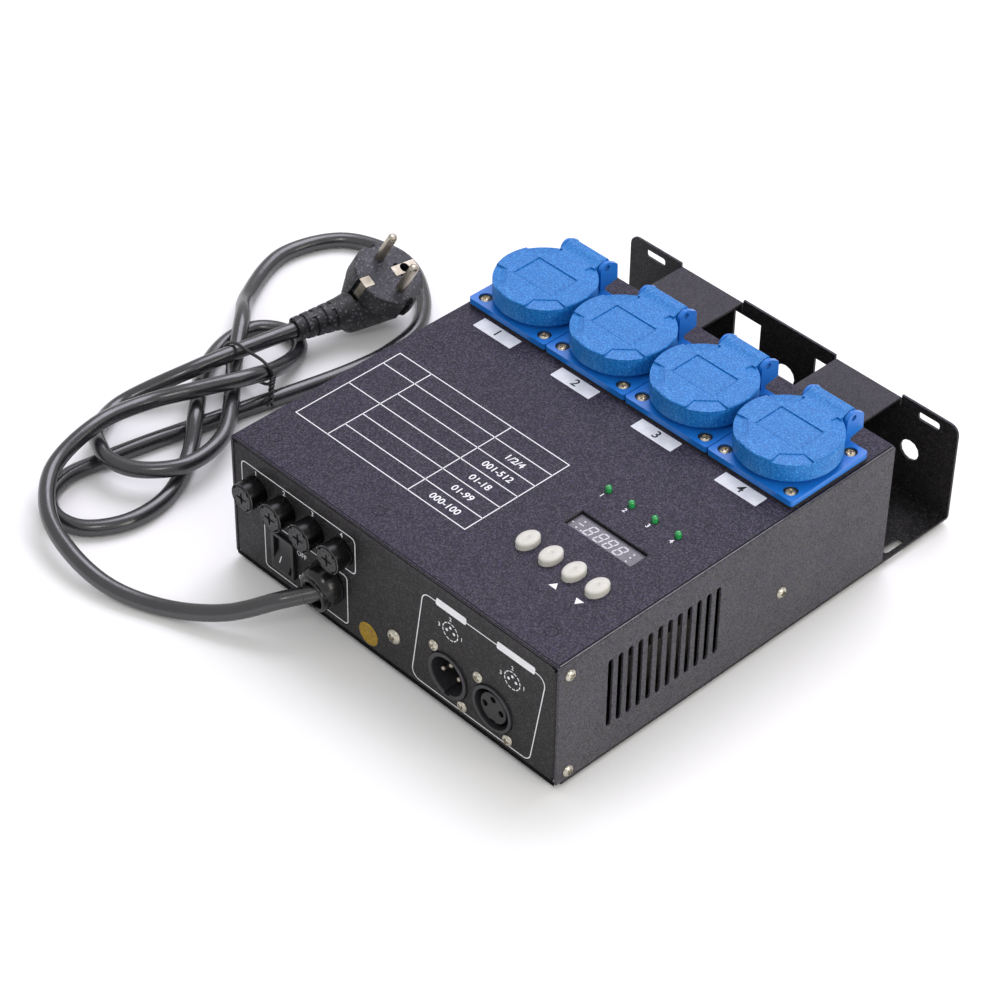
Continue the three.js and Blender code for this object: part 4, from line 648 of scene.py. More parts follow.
def lidShape():
    radius, top, bottom, fillet = lid["radius"], lid["top"], lid["bottom"], lid["fillet"]
    chamfer, coving = lid["chamfer"], lid["coving"]
    inner, low = radius - lid["wall"], top - lid["disc"]
    rim = [(radius - fillet * (1 - cos(a)), top - fillet * (1 - sin(a))) for a in quarter(5)]
    cap = turned([(0, low), (inner - coving, low), (inner, low - coving), (inner, bottom + chamfer),
                  (inner + chamfer, bottom), (radius - chamfer, bottom), (radius, bottom + chamfer),
                  *rim, (0, top)], lid["sides"])
    wide, long = lid["field"][0] / 2, lid["field"][1] / 2
    cuts = [block(-wide, wide, -long, long, top - lid["fieldSink"], top + past)]
    start, reach = lid["facetStart"], radius + 1
    slant = (lid["facetOuter"] - lid["facetInner"]) / (2 * (radius - start))
    for i in range(4):
        ends = [(start, lid["facetInner"] / 2, top - lid["shallow"]),
                (reach, lid["facetInner"] / 2 + slant * (reach - start), top - lid["deep"])]
        points = [(x, side * half, z) for x, half, sunk in ends
                  for side in signs for z in (sunk, top + past)]
        faces = [(0, 1, 3, 2), (4, 6, 7, 5), (0, 4, 5, 1), (2, 3, 7, 6), (1, 5, 7, 3), (0, 2, 6, 4)]
        cuts.append(spun(meshOf(points, faces), 45 + 90 * i))
        steps = lid["sweepSteps"]
        angles = [radians(lid["sweep"] * (k / steps - 1)) for k in range(2 * steps + 1)]
        sector = [(cos(a) * lid["inset"], sin(a) * lid["inset"]) for a in angles]
        sector += [(cos(a) * (reach + past), sin(a) * (reach + past)) for a in reversed(angles)]
        cuts.append(spun(prism(sector, bottom + lid["insetFrom"], top + 3), 45 + 90 * i))
    half, lip = lid["plateHalf"], lid["lip"]
    front, rear, foot = lid["web"]
    web = block(-half, half, front, rear, foot, top - fillet)
    pin = spun(rod(lid["pinRadius"], -lid["pinHalf"], lid["pinHalf"], 24), 90, "Y")
    levels = [top + level for level in lid["lipLevels"]]
    frameOut = block(-wide - lip, wide + lip, -long - lip, long + lip, *levels)
    frameIn = block(-wide, wide, -long, long, top - 1, top + 1)
    return carved(carved(cap, cuts=cuts), cuts=[shifted(pin, 0, *lid["pivot"])],
                  joins=[carved(frameOut, cuts=[frameIn]), lidPlate(), web])


socketPlaces = [-75.6, -25.2, 25.2, 75.6]
socketRow = 167
lidMesh = dressed(lidShape(), "lid_plastic", 0.12)
for k, x in enumerate(socketPlaces, 1):
    put(f"lid_shell_{k}", lidMesh, onTop(x + middle, socketRow), [f"socket_lid_{k}"], f"lid_{k}")
print("lids made")


# Socket bodies with collar, well, screw wells and ears
socket = {
    "side": 50, "corner": 1.6, "base": 1.5, "top": 4.5, "collar": 6.6, "collarRadius": 21.75,
    "barrelRadius": 21.5, "drop": 28, "well": 19.6, "floor": -8.3, "sides": 112,
    "screw": 19.3, "screwRadius": 3.4, "screwSink": 1.6, "pins": 9.5, "clipWay": (3.3, 19, -9.5, -7),
    "pinHole": [(0, -22.3), (2.7, -22.3), (2.7, -9), (3.2, -8.2), (3.2, -7), (0, -7)],
    "ears": ((-12.9, -11.5), (11.7, 13.9)), "earFront": 22.3, "earDepth": 11.4, "earTop": 18.9,
    "earFoot": 3.5, "earShape": [
        (0, 0.71), (0.015, 0.8), (0.06, 0.88), (0.17, 0.96), (0.3, 1), (0.42, 0.995), (0.56, 0.955),
        (0.75, 0.87), (0.93, 0.785), (0.97, 0.74), (0.98, 0.68), (1, 0.17), (0.28, 0.08),
    ],
    "dimple": [(0, 12.4), (1.25, 12.4), (1.5, 12.6), (1.5, 15), (0, 15)], "pinHalf": 12.7,
    "bridgeHalf": 11.3, "bridgeTop": 6.5, "rib": (17.3, 20, 2.3), "ribDrop": 1.5, "overlap": 0.4,
    "collarBevel": (0.15, 0.5), "wellBevel": 0.4, "wellCoving": 0.8, "cutTop": 12,
}


def socketShape():
    top, radius, collar, well = socket["top"], socket["collarRadius"], socket["collar"], socket["well"]
    barrel, base, floor, sides = socket["barrelRadius"], socket["base"], socket["floor"], socket["sides"]
    overlap, bevel, coving = socket["overlap"], socket["wellBevel"], socket["wellCoving"]
    near, far = socket["collarBevel"]
    plate = prism(cornered(socket["side"], socket["side"], socket["corner"]), base, top)
    drum = turned([(0, -socket["drop"]), (barrel, -socket["drop"]), (barrel, base + overlap),
                   (radius, base + overlap), (radius, collar - far), (radius - near, collar - near),
                   (radius - far, collar), (0, collar)], sides)
    front, rear, rise = socket["earFront"], socket["earFront"] + socket["earFoot"], socket["earTop"] - top
    outline = [(front + a * socket["earDepth"], top + b * rise) for a, b in socket["earShape"]]
    outline = [(front, top - overlap), *outline, (rear, top - overlap)]
    ears = [moved(prism(outline, a, b), alongX) for a, b in socket["ears"]]
    half = socket["bridgeHalf"]
    bridge = block(-half, half, front, rear, top - overlap, socket["bridgeTop"])
    halfWide, halfLong, *levels = socket["clipWay"]
    pinWay = spun(rod(lid["pinRadius"], -socket["pinHalf"], socket["pinHalf"], 24), 90, "Y")
    cuts = [turned([(0, floor), (well - coving, floor), (well, floor + coving), (well, collar - bevel),
                    (well + bevel, collar), (well + bevel, socket["cutTop"]), (0, socket["cutTop"])], sides),
            block(-halfWide, halfWide, -halfLong, halfLong, *levels), shifted(pinWay, 0, *lid["pivot"])]
    for sign in signs:
        cuts.append(shifted(turned(socket["pinHole"], 32), sign * socket["pins"]))
        cuts.append(shifted(spun(turned(socket["dimple"], 24), 90 * sign, "Y"), 0, *lid["pivot"]))
        for end in signs:
            sink = rod(socket["screwRadius"], top - socket["screwSink"], top + past, 40)
            cuts.append(shifted(sink, sign * socket["screw"], end * socket["screw"]))
    near, far, half = socket["rib"]
    ribs = [block(*sided(sign, near, far), -half, half, floor - overlap, collar - socket["ribDrop"])
            for sign in signs]
    return carved(carved(plate, joins=[drum, bridge, *ears], cuts=cuts), joins=ribs)


socketMesh = dressed(socketShape(), "socket_plastic", 0.16, 24)
for k, x in enumerate(socketPlaces, 1):
    put(f"socket_shell_{k}", socketMesh, onTop(x + middle, socketRow), [f"socket_body_{k}"])
print("sockets made")


# Screws with a cross recess: radius, height and reach of the cross, then look and edge
screwKinds = {
    "socket": (2.85, 1.5, 0.58, "screw_brass", 0.06), "panel": (2.9, 1.5, 0.55, "zinc", 0.06),
    "side": (2.9, 1.6, 0.5, "zinc", 0.06), "earth": (3.9, 2.1, 0.5, "zinc", 0.08),
}
screwSpots = {
    "corners": [(-1, -1), (1, -1), (1, 1), (-1, 1)], "lift": 2.95,
    "panel": [(131.3, 31), (149, 7.4), (158.5, 31.1), (176.8, 7.2)],
    "earth": (106.3, 19.2), "side": [(6.4, 60.9), (6.8, 5.8), (137.4, 25.8)],
    "turns": [18, 64, 41, 77, 5, 33, 52, 86, 25, 70, 12, 47, 81, 38, 59, 8], "earthTurn": 30,
}
screwHead = {"sides": 40, "root": -0.3, "rise": 0.02, "crossWidth": 0.2, "crossFloor": 0.35, "above": 1,
             "pitFloor": 0.1, "pitLow": 0.8, "pitHigh": 1.7, "pitSides": 16}
# A black ring round the foot of each socket screw head
head_ring = [(2.4, 2.85), (3.38, 2.85), (3.38, 3.7), (3.1, 3.85), (2.9, 3.5), (2.4, 3.3), (2.4, 2.85)]


def screwShape(radius, height, recess):
    root, rise, top = screwHead["root"], screwHead["rise"], height + screwHead["above"]
    dome = [(radius * cos(a), height * sin(a) + rise) for a in quarter(7)[:-1]]
    head = turned([(0, root), (radius, root), *dome, (0, height)], screwHead["sides"])
    reach, width, floor = radius * recess, radius * screwHead["crossWidth"], height * screwHead["crossFloor"]
    cross = [spun(block(-reach, reach, -width, width, floor, top), turn) for turn in (0, 90)]
    floor = height * screwHead["pitFloor"]
    low, high = width * screwHead["pitLow"], width * screwHead["pitHigh"]
    pit = turned([(0, floor), (low, floor), (high, top), (0, top)], screwHead["pitSides"])
    return carved(head, cuts=[*cross, pit])


def screw(name, kind, spot, degrees):
    put(name, screwMeshes[kind], spot @ spin(degrees))


screwMeshes = {kind: dressed(screwShape(*size), look, edge)
               for kind, (*size, look, edge) in screwKinds.items()}
turns = screwSpots["turns"]
head_rings = []
for k, x in enumerate(socketPlaces):
    for n, (a, b) in enumerate(screwSpots["corners"]):
        spot = (x + middle + a * socket["screw"], socketRow + b * socket["screw"])
        screw(f"socket_screw_{k + 1}_{n + 1}", "socket", onTop(*spot, topLevel + screwSpots["lift"]),
              turns[4 * k + n])
        head_rings.append(shifted(turned(head_ring, 40), *spot))
put("socket_head_rings", dressed(merged(head_rings), "black_rubber"), onTop(0, 0))
for k, spot in enumerate(screwSpots["panel"], 1):
    screw(f"panel_screw_{k}", "panel", onFront(*spot), turns[k])
screw("earth_screw", "earth", onFront(*screwSpots["earth"]), screwSpots["earthTurn"])
for side in ("right", "left"):
    for k, spot in enumerate(screwSpots["side"], 1):
        screw(f"side_screw_{side}_{k}", "side", onSide(*spot, side == "left"), turns[k + 4])
print("screws made")


# Buttons and lights, drawn from the underside of the box up; the row is the first place and the pitch
button = {
    "profile": [
        (0, 61.8), (1.7, 61.8), (1.7, 65.9), (7.3, 65.9), (7.3, 66.9), (6.3, 66.9), (6.3, 70.2),
        (6.24, 70.75), (6.05, 71.2), (5.7, 71.52), (5.1, 71.72), (4.2, 71.83), (3, 71.9), (1.5, 71.9),
        (1.25, 71.85), (1, 71.7), (0.6, 71.55), (0, 71.5),
    ],
    "squeeze": 4.35 / 6.3, "row": (141.5, 45, 13.8),
}
light = {
    "foot": [(0, 65.9), (2, 65.9), (2, 66.9), (1.5, 66.9), (1.5, 70)], "radius": 1.5, "shoulder": 70,
    "legs": (0.25, 56.1, 66.5), "row": (140.9, 94.2, 13.83),
}
buttonMesh = moved(turned(button["profile"], 80), Matrix.Diagonal((button["squeeze"], 1, 1, 1)))
buttonMesh = dressed(buttonMesh, "button_plastic", 0, 40)
dome = [(light["radius"] * cos(a), light["shoulder"] + light["radius"] * sin(a))
        for a in quarter(8)[1:-1]]
lens = turned([*light["foot"], *dome, (0, light["shoulder"] + light["radius"])], 40)
half, legLow, legHigh = light["legs"]
legs = [block(side - half, side + half, -half, half, legLow, legHigh) for side in signs]
lightMesh = dressed(merged([lens, *legs]), "green_lens", 0, 40)
buttonFirst, buttonRow, buttonPitch = button["row"]
lightFirst, lightRow, lightPitch = light["row"]
for k in range(4):
    put(f"button_cap_{k + 1}", buttonMesh, onTop(buttonFirst + buttonPitch * k, buttonRow, 0),
        [f"button_{k + 1}"], f"button_body_{k + 1}")
    put(f"light_dome_{k + 1}", lightMesh, onTop(lightFirst + lightPitch * k, lightRow, 0),
        [f"light_{k + 1}"])
print("buttons made")

# Printed lines, numbers and plates; ink stands this far over a surface and reaches as far into it
ink = 0.05
fontSwell = 0.012
fontSteps = 3
miterLimit = 0.5


def ribbon(points, width, closed=False, high=ink):
    count = len(points)
    spots = [Vector(point) for point in points]
    made, faces = [], []
    for i, spot in enumerate(spots):
        before = spots[i - 1] if closed or i else spot
        after = spots[(i + 1) % count] if closed or i < count - 1 else spot
        ahead = (after - spot).normalized() if after != spot else (spot - before).normalized()
        behind = (spot - before).normalized() if before != spot else ahead
        along = (ahead + behind).normalized()
        side = Vector((-along.y, along.x)) * (width / 2 / max(miterLimit, along.dot(ahead)))
        for edge in (spot + side, spot - side):
            made += [(edge.x, edge.y, -ink), (edge.x, edge.y, high)]
    for i in range(count if closed else count - 1):
        a, b = 4 * i, 4 * ((i + 1) % count)
        faces += [(a + 1, a + 3, b + 3, b + 1), (a, b, b + 2, a + 2), (a, a + 1, b + 1, b),
                  (a + 2, b + 2, b + 3, a + 3)]
    if not closed:
        end = 4 * (count - 1)
        faces += [(0, 2, 3, 1), (end, end + 1, end + 3, end + 2)]
    return meshOf(made, faces)


def filleted(points, radius, steps=6):
    made = []
    count = len(points)
    for i in range(count):
        before, spot, after = (Vector(points[k % count]) for k in (i - 1, i, i + 1))
        a, b = (before - spot).normalized(), (after - spot).normalized()
        half = a.angle(b) / 2
        run = radius / tan(half)
        start, end = spot + a * run, spot + b * run
        centre = spot + (a + b).normalized() * (radius / sin(half))
        first = atan2(*(start - centre).yx)
        sweep = (atan2(*(end - centre).yx) - first + pi) % (2 * pi) - pi
        for k in range(steps + 1):
            angle = first + sweep * k / steps
            made.append((centre.x + cos(angle) * radius, centre.y + sin(angle) * radius))
    return made


def glyphs(text, size, x, y):
    data = bpy.data.curves.new("text", "FONT")
    data.body = text
    data.size = size
    data.extrude = ink
    data.offset = size * fontSwell
    data.align_x = data.align_y = "CENTER"
    data.resolution_u = fontSteps
    obj = linked("text", data)
    bpy.context.view_layer.update()
    mesh = evaluated(obj)
    bpy.data.objects.remove(obj)
    return shifted(mesh, x, y)


table = {
    "left": 8, "right": 117, "top": 94, "row": 10.45, "rows": 6, "columns": (29, 81), "line": 0.5,
    "full": (0, 1, 3, 6), "figures": ["1/2/4", "001-512", "01-18", "01-99", "000-100"], "figureSize": 5.4,
    "lightNumbers": (3.6, 89.9),
    "arrows": [[(166.4, 32.6), (170.8, 32.6), (168.6, 36)], [(180.2, 35.4), (182.4, 32), (184.6, 35.4)]],
}
left, right, top, row = table["left"], table["right"], table["top"], table["row"]
low = top - row * table["rows"]
lines = []
for k in range(1, table["rows"]):
    start = left if k in table["full"] else table["columns"][0]
    lines.append([(start, top - row * k), (right, top - row * k)])
lines += [[(x, low), (x, top)] for x in table["columns"]]
prints = [ribbon([(left, low), (right, low), (right, top), (left, top)], table["line"], closed=True)]
prints += [ribbon(points, table["line"]) for points in lines]
figureColumn = (table["columns"][1] + right) / 2
for k, figures in enumerate(table["figures"]):
    prints.append(glyphs(figures, table["figureSize"], figureColumn, top - row * (k + 1.5)))
numberSize, numberRow = table["lightNumbers"]
prints += [glyphs(str(k + 1), numberSize, lightFirst + lightPitch * k, numberRow) for k in range(4)]
prints += [prism(points, -ink, ink) for points in table["arrows"]]
put("top_print", dressed(merged(prints), "white_ink"), onTop(0, 0))

labels = {"first": 27.3, "pitch": 50.6, "row": 136.6, "size": (24.3, 7.8), "thick": 0.14, "figure": 7}
for k in range(4):
    x = labels["first"] + labels["pitch"] * k
    plate = prism(cornered(*labels["size"], 0.3, 3), -0.02, labels["thick"])
    put(f"label_plate_{k + 1}", dressed(plate, "label_film"), onTop(x, labels["row"]))
    put(f"label_number_{k + 1}", dressed(glyphs(str(k + 1), labels["figure"], 0, 0), "black_ink"),
        onTop(x, labels["row"], topLevel + labels["thick"]))

# Shade and light at studs, folds and seams: points and width of each strip, all lower than the prints
strips = {
    "high": 0.03, "studs": [(15.8, 110.5), (15.2, 13.3), (83.1, 12.8), (188, 13.2), (188.5, 108)],
    "studRadius": 2.9, "studWidth": 0.28, "studHigh": 0.04,
    "shade": [([(1, 0.9), (204.4, 0.9)], 0.5), ([(204.6, 1), (204.6, 207)], 0.7)],
    "light": [([(205.35, 1), (205.35, 207)], 0.5)],
    "seams": [([(1, 68.1), (205, 68.1)], 0.35), ([(1, 66.9), (205, 66.9)], 0.4),
              ([(1, 1.3), (205, 1.3)], 2.4)],
}


def stripMesh(kind, look):
    made = [ribbon(points, width, high=strips["high"]) for points, width in strips[kind]]
    return dressed(merged(made), look)


# Painted shade in a thin ring round each pressed stud
rings = [ribbon(circle(x, y, strips["studRadius"]), strips["studWidth"], closed=True, high=strips["studHigh"])
         for x, y in strips["studs"]]
put("stud_ring_shade", dressed(merged(rings), "painted_shade"), onTop(0, 0))
put("fold_shade", stripMesh("shade", "painted_shade"), onTop(0, 0))
# Painted highlight along the cover's right fold
put("fold_light", stripMesh("light", "painted_highlight"), onTop(0, 0))
# Painted shade along the cover's front edge, the seam below it and the bottom fold of the front
put("front_edge_shade", stripMesh("seams", "painted_seam_shade"), onFront(0, 0))

# Front panel: x across, z up
fusePlaces = [17, 35.8, 54.6, 73.4]
front = {
    "line": 0.5, "frames": [
        ([(6.9, 38.3), (81.7, 38.3), (81.7, 58.5), (6.9, 58.5)], 2.6),
        ([(21, 5.7), (76, 5.7), (76, 33.7), (21, 33.7)], 2.2),
        ([(117, 4.3), (190, 4.3), (198.7, 57), (124.6, 57)], 4.5),
    ],
    "tabs": [[(132.4, 55.3), (150.8, 55.3), (151.4, 59.4), (133, 59.4)],
             [(169.3, 55.3), (191.8, 55.3), (192.4, 59.4), (169.9, 59.4)]],
    "tabRadius": 0.9, "tabHigh": 0.07, "figure": 3.7, "words": [("OFF", 45.9, 27), ("ON", 46.4, 13.1)],
    "fuseFigures": (-0.5, 55.9), "rings": [(141.5, 45.4), (179, 43.2)], "ringRadius": 4.6, "dashes": 12,
    "dash": 0.7, "dots": [(1, 0), (0, 1), (-1, 0)], "dotWay": 2.2, "dotRadius": 0.75, "dotFigure": (3, 6.9),
}
frontLines = [ribbon(filleted(points, radius), front["line"], closed=True)
              for points, radius in front["frames"]]
frontLines += [prism(filleted(points, front["tabRadius"], 4), -ink, front["tabHigh"])
               for points in front["tabs"]]
frontLines += [glyphs(word, front["figure"], x, z) for word, x, z in front["words"]]
for k, x in enumerate(fusePlaces, 1):
    frontLines.append(glyphs(str(k), front["figure"], x + front["fuseFigures"][0], front["fuseFigures"][1]))
for x, z in front["rings"]:
    for k in range(front["dashes"]):
        angles = [pi / 6 * (k + i / 4 * front["dash"]) for i in range(5)]
        arc = [(x + cos(a) * front["ringRadius"], z + sin(a) * front["ringRadius"]) for a in angles]
        frontLines.append(ribbon(arc, front["line"]))
    figureSize, figureWay = front["dotFigure"]
    for k, (a, b) in enumerate(front["dots"], 1):
        dot = circle(x + a * front["dotWay"], z + b * front["dotWay"], front["dotRadius"], 16)
        frontLines.append(prism(dot, -ink, ink))
        frontLines.append(glyphs(str(k), figureSize, x + a * figureWay, z + b * figureWay))
put("front_print", dressed(merged(frontLines), "white_ink"), onFront(0, 0))
sticker = [(0, -0.02), (6, -0.02), (6, 0.08), (5.9, 0.1), (5, 0.1), (4.9, 0.14), (4.5, 0.14),
           (4.4, 0.1), (0, 0.1)]
put("gold_sticker", dressed(turned(sticker, 64), "gold_foil"), onFront(89.4, 9.3))
rockerLine = {"half": (0.3, 1.6), "spot": (33.2, -1.72, 17.45), "lean": (0.419, 0.908)}
wide, long = rockerLine["half"]
cosine, sine = rockerLine["lean"]
rockerFace = Matrix(((1, 0, 0, 0), (0, cosine, -sine, 0), (0, sine, cosine, 0), (0, 0, 0, 1)))
put("rocker_line", dressed(block(-wide, wide, -long, long, -ink, ink), "white_ink"),
    Matrix.Translation(place(*rockerLine["spot"])) @ rockerFace, body="rocker_body")
print("prints made")


# Display face with unlit figures
display = {
    "centre": (162, 71.2), "size": (39.4, 11), "level": 66.15, "thick": 0.4, "digit": (3.3, 6.2),
    "places": (-9, -2.9, 2.7, 8.6), "bar": 0.75, "slant": 0.2, "gap": 0.14, "high": 0.06, "dotRadius": 0.5,
    "dots": [(-14.9, 2.6), (-18.7, -1), (-15.1, -2.6), (-12.2, -2.8), (14.4, 2.5), (14.5, 0), (14.7, -2.9)],
    "dash": (-16.4, -13.4, -0.1, 0.5),
    "segments": [((0, 1), (1, 1)), ((1, 1), (1, 0)), ((1, 0), (1, -1)), ((0, -1), (1, -1)),
                 ((0, 0), (0, -1)), ((0, 1), (0, 0)), ((0, 0), (1, 0))],
}


def figure(x):
    wide, high = display["digit"]
    bar, gap, slant = display["bar"] / 2, display["gap"], display["slant"]
    made = []
    for ends in display["segments"]:
        a, b = (Vector((across * wide - wide / 2, rise * high / 2)) for across, rise in ends)
        way = (b - a).normalized()
        side = Vector((-way.y, way.x)) * bar
        a, b = a + way * gap, b - way * gap
        near, far = a + way * bar, b - way * bar
        outline = [a, near - side, far - side, b, far + side, near + side]
        made.append(prism([(x + p.x + p.y * slant, p.y) for p in outline], 0, display["high"]))
    return made


face = prism(cornered(*display["size"], 0.2, 2), 0, display["thick"])
put("display_face", dressed(face, "display_glass"), onTop(*display["centre"], display["level"]))
bars = [bar for x in display["places"] for bar in figure(x)]
bars += [prism(circle(x, y, display["dotRadius"], 16), 0, display["high"]) for x, y in display["dots"]]
bars.append(block(*display["dash"], 0, display["high"]))
put("display_segments", dressed(merged(bars), "display_segment"),
    onTop(*display["centre"], display["level"] + display["thick"]))
print("display made")


# Fuse holders and caps, each drawn from the face of the panel outwards
fuse = {
    "level": 47.2, "sides": 56, "holder": [
        (0, -28), (6, -28), (6, -0.05), (7, -0.05), (7, 8.5), (6.9, 8.85), (6.65, 9.1), (6.5, 9.1), (6.45, 9),
        (6.45, 6.85), (4, 6.85), (4, -25), (0, -25),
    ],
    "nut": (8.5, -4.25, -1.25), "tags": [(-2.5, 2.5, -0.5, 0.5, -33, -27.6), (-2.5, 2.5, 5.2, 11, -25, -24)],
    "cap": [
        (0, 9.3), (5.2, 9.3), (5.3, 9.4), (5.75, 9.4), (6.05, 9.25), (6.15, 8.9), (6.15, 6.9), (3.8, 6.9),
        (3.8, -9.1), (2.8, -9.1), (2.8, -1.1), (0, -1.1),
    ],
    "slot": [(-3.4, -0.35), (-1, -0.75), (1, -0.75), (3.4, -0.35), (3.4, 0.35), (1, 0.75),
             (-1, 0.75), (-3.4, 0.35)],
    "slotFloor": 8.2, "cutTop": 11, "ticks": (4.1, 4.7, -0.3, 0.3, 8.95),
    "notches": (5.35, 7, -0.75, 0.75, 8.3),
    "rim": [(6.55, 9.08), (6.98, 8.72), (7.03, 8.74), (6.6, 9.13), (6.55, 9.08)],
}
holderShape = merged([turned(fuse["holder"], fuse["sides"]), nut(*fuse["nut"]),
                      *[block(*tag) for tag in fuse["tags"]]])
holderMesh = dressed(holderShape, "fuse_barrel", 0, 40)
capCuts = [spun(prism(fuse["slot"], fuse["slotFloor"], fuse["cutTop"]), turn) for turn in (0, 90)]
capCuts += [spun(block(*fuse["ticks"], fuse["cutTop"]), 22.5 + 45 * k) for k in range(8)]
capCuts += [spun(block(*fuse["notches"], fuse["cutTop"]), 45 + 90 * k) for k in range(4)]
capMesh = dressed(carved(turned(fuse["cap"], fuse["sides"]), cuts=capCuts), "fuse_cap", 0.08, 40)
for k, x in enumerate(fusePlaces, 1):
    spot = onFront(x, fuse["level"])
    put(f"fuse_barrel_{k}", holderMesh, spot, [f"fuse_holder_{k}"])
    put(f"fuse_knob_{k}", capMesh, spot, [f"fuse_cap_{k}"], f"fuse_cap_body_{k}")
# Painted highlight: a thin grey ring on each holder's front edge
rim_highlights = [shifted(turned(fuse["rim"], fuse["sides"]), x, fuse["level"]) for x in fusePlaces]
put("fuse_rim_highlights", dressed(merged(rim_highlights), "painted_rim_highlight", 0, 60), onFront(0, 0))
print("fuse holders made")


# Round connectors, one with pins and one with sockets
connector = {
    "in": (140.2, 19.2), "out": (167.7, 19.2), "contacts": [(4.9, 0), (0, 4.9), (-4.9, 0)], "sides": 72,
    "plate": (26, 31, 3), "plateLevels": (-3.75, -1.25), "bore": (11, -24, 2), "cup": (1.3, -28, -23.6),
    "nose": [(10.2, 1), (11.35, 1), (11.6, 0.9), (11.7, 0.65), (11.7, -24), (0, -24)],
    "male": [(0, -13), (9.5, -13), (9.5, 0.4), (9.75, 0.85)], "maleKey": (-1.5, 1.5, -10.7, -8.3, -11.8, 3),
    "female": [(0, -13), (10, -13), (10, 0.45), (10.15, 0.85)], "femaleKey": (-1.5, 1.5, -9, -6.65, -20, 3),
    "pin": [(0, -13.4), (1.2, -13.4), (1.2, -2), (1.05, -1.4), (0.6, -1.05), (0, -1)],
    "hole": [(0, -10), (1.25, -10), (1.25, -0.6), (1.6, -0.1), (1.6, 2), (0, 2)],
    "insert": [(0, -13.2), (7.85, -13.2), (7.85, -0.4), (7.45, 0), (0, 0)],
}


def shellMesh(mouth, cuts):
    plate = prism(cornered(*connector["plate"]), *connector["plateLevels"])
    bore = rod(*connector["bore"], connector["sides"])
    shell = carved(turned([*mouth, *connector["nose"]], connector["sides"]), cuts=cuts)
    cups = [shifted(rod(*connector["cup"], 20), *spot) for spot in connector["contacts"]]
    return dressed(merged([shell, carved(plate, cuts=[bore]), *cups]), "connector_shell", 0.08, 40)


maleMesh = shellMesh(connector["male"], [block(*connector["maleKey"])])
put("connector_in_shell", maleMesh, onFront(*connector["in"]), ["connector_in"])
pinMesh = dressed(turned(connector["pin"], 24), "nickel", 0, 40)
for k, (x, y) in enumerate(connector["contacts"], 1):
    spot = onFront(connector["in"][0] + x, connector["in"][1] + y)
    put(f"connector_in_pin_{k}", pinMesh, spot)
put("connector_out_shell", shellMesh(connector["female"], []), onFront(*connector["out"]),
    ["connector_out"])
insertCuts = [block(*connector["femaleKey"])]
insertCuts += [shifted(turned(connector["hole"], 24), *spot) for spot in connector["contacts"]]
insert = carved(turned(connector["insert"], 64), cuts=insertCuts)
put("connector_out_insert", dressed(insert, "black_plastic", 0.1, 40), onFront(*connector["out"]))
print("connectors made")


# Cable gland with a nozzle along the start of the lead
def towards(start, way):
    return Matrix.Translation(start) @ up.rotation_difference(way).to_matrix().to_4x4()


gland = {
    "spot": (63.5, 23.3), "mouth": (0.7, -2.1, 10), "way": (-0.12, -0.08, 0.985), "sides": 64,
    "dome": [
        (0, 9.6), (7.1, 9.6), (7.9, 9.35), (8.6, 8.8), (9.3, 7.8), (9.8, 6.6), (10.2, 5.2), (10.5, 3.6),
        (10.7, 2), (10.75, 0.4), (10.6, 0.05), (6.2, 0.05), (6.2, -8), (0, -8),
    ],
    "lip": [(0, -4.4), (8.3, -4.4), (8.3, -0.7), (8.15, -0.25), (7.85, 0.05), (7.45, 0.1), (7.1, 0), (0, 0)],
    "well": [(0, -4.2), (5.8, -4.2), (6.1, -3.4), (6.4, -0.9), (6.6, -0.4), (7.1, 0.12), (7.2, 2), (0, 2)],
    "nut": (9.5, -5.25, -1.25), "stub": (3.95, 0.1, 7.2),
}
dome, lip, well = (turned(gland[key], gland["sides"]) for key in ("dome", "lip", "well"))
mouth = towards(gland["mouth"], Vector(gland["way"]))
glandShape = merged([carved(dome, joins=[moved(lip, mouth)], cuts=[moved(well, mouth)]), nut(*gland["nut"])])
put("gland_body", dressed(glandShape, "polished_nylon", 0.08, 38), onFront(*gland["spot"]), ["cable_gland"])
startWay = (routePoints[0] - routePoints[1]).normalized()
put("gland_lead", dressed(rod(*gland["stub"], 40), "cord_sheath", 0, 50), towards(routePoints[0], startWay))
print("gland made")


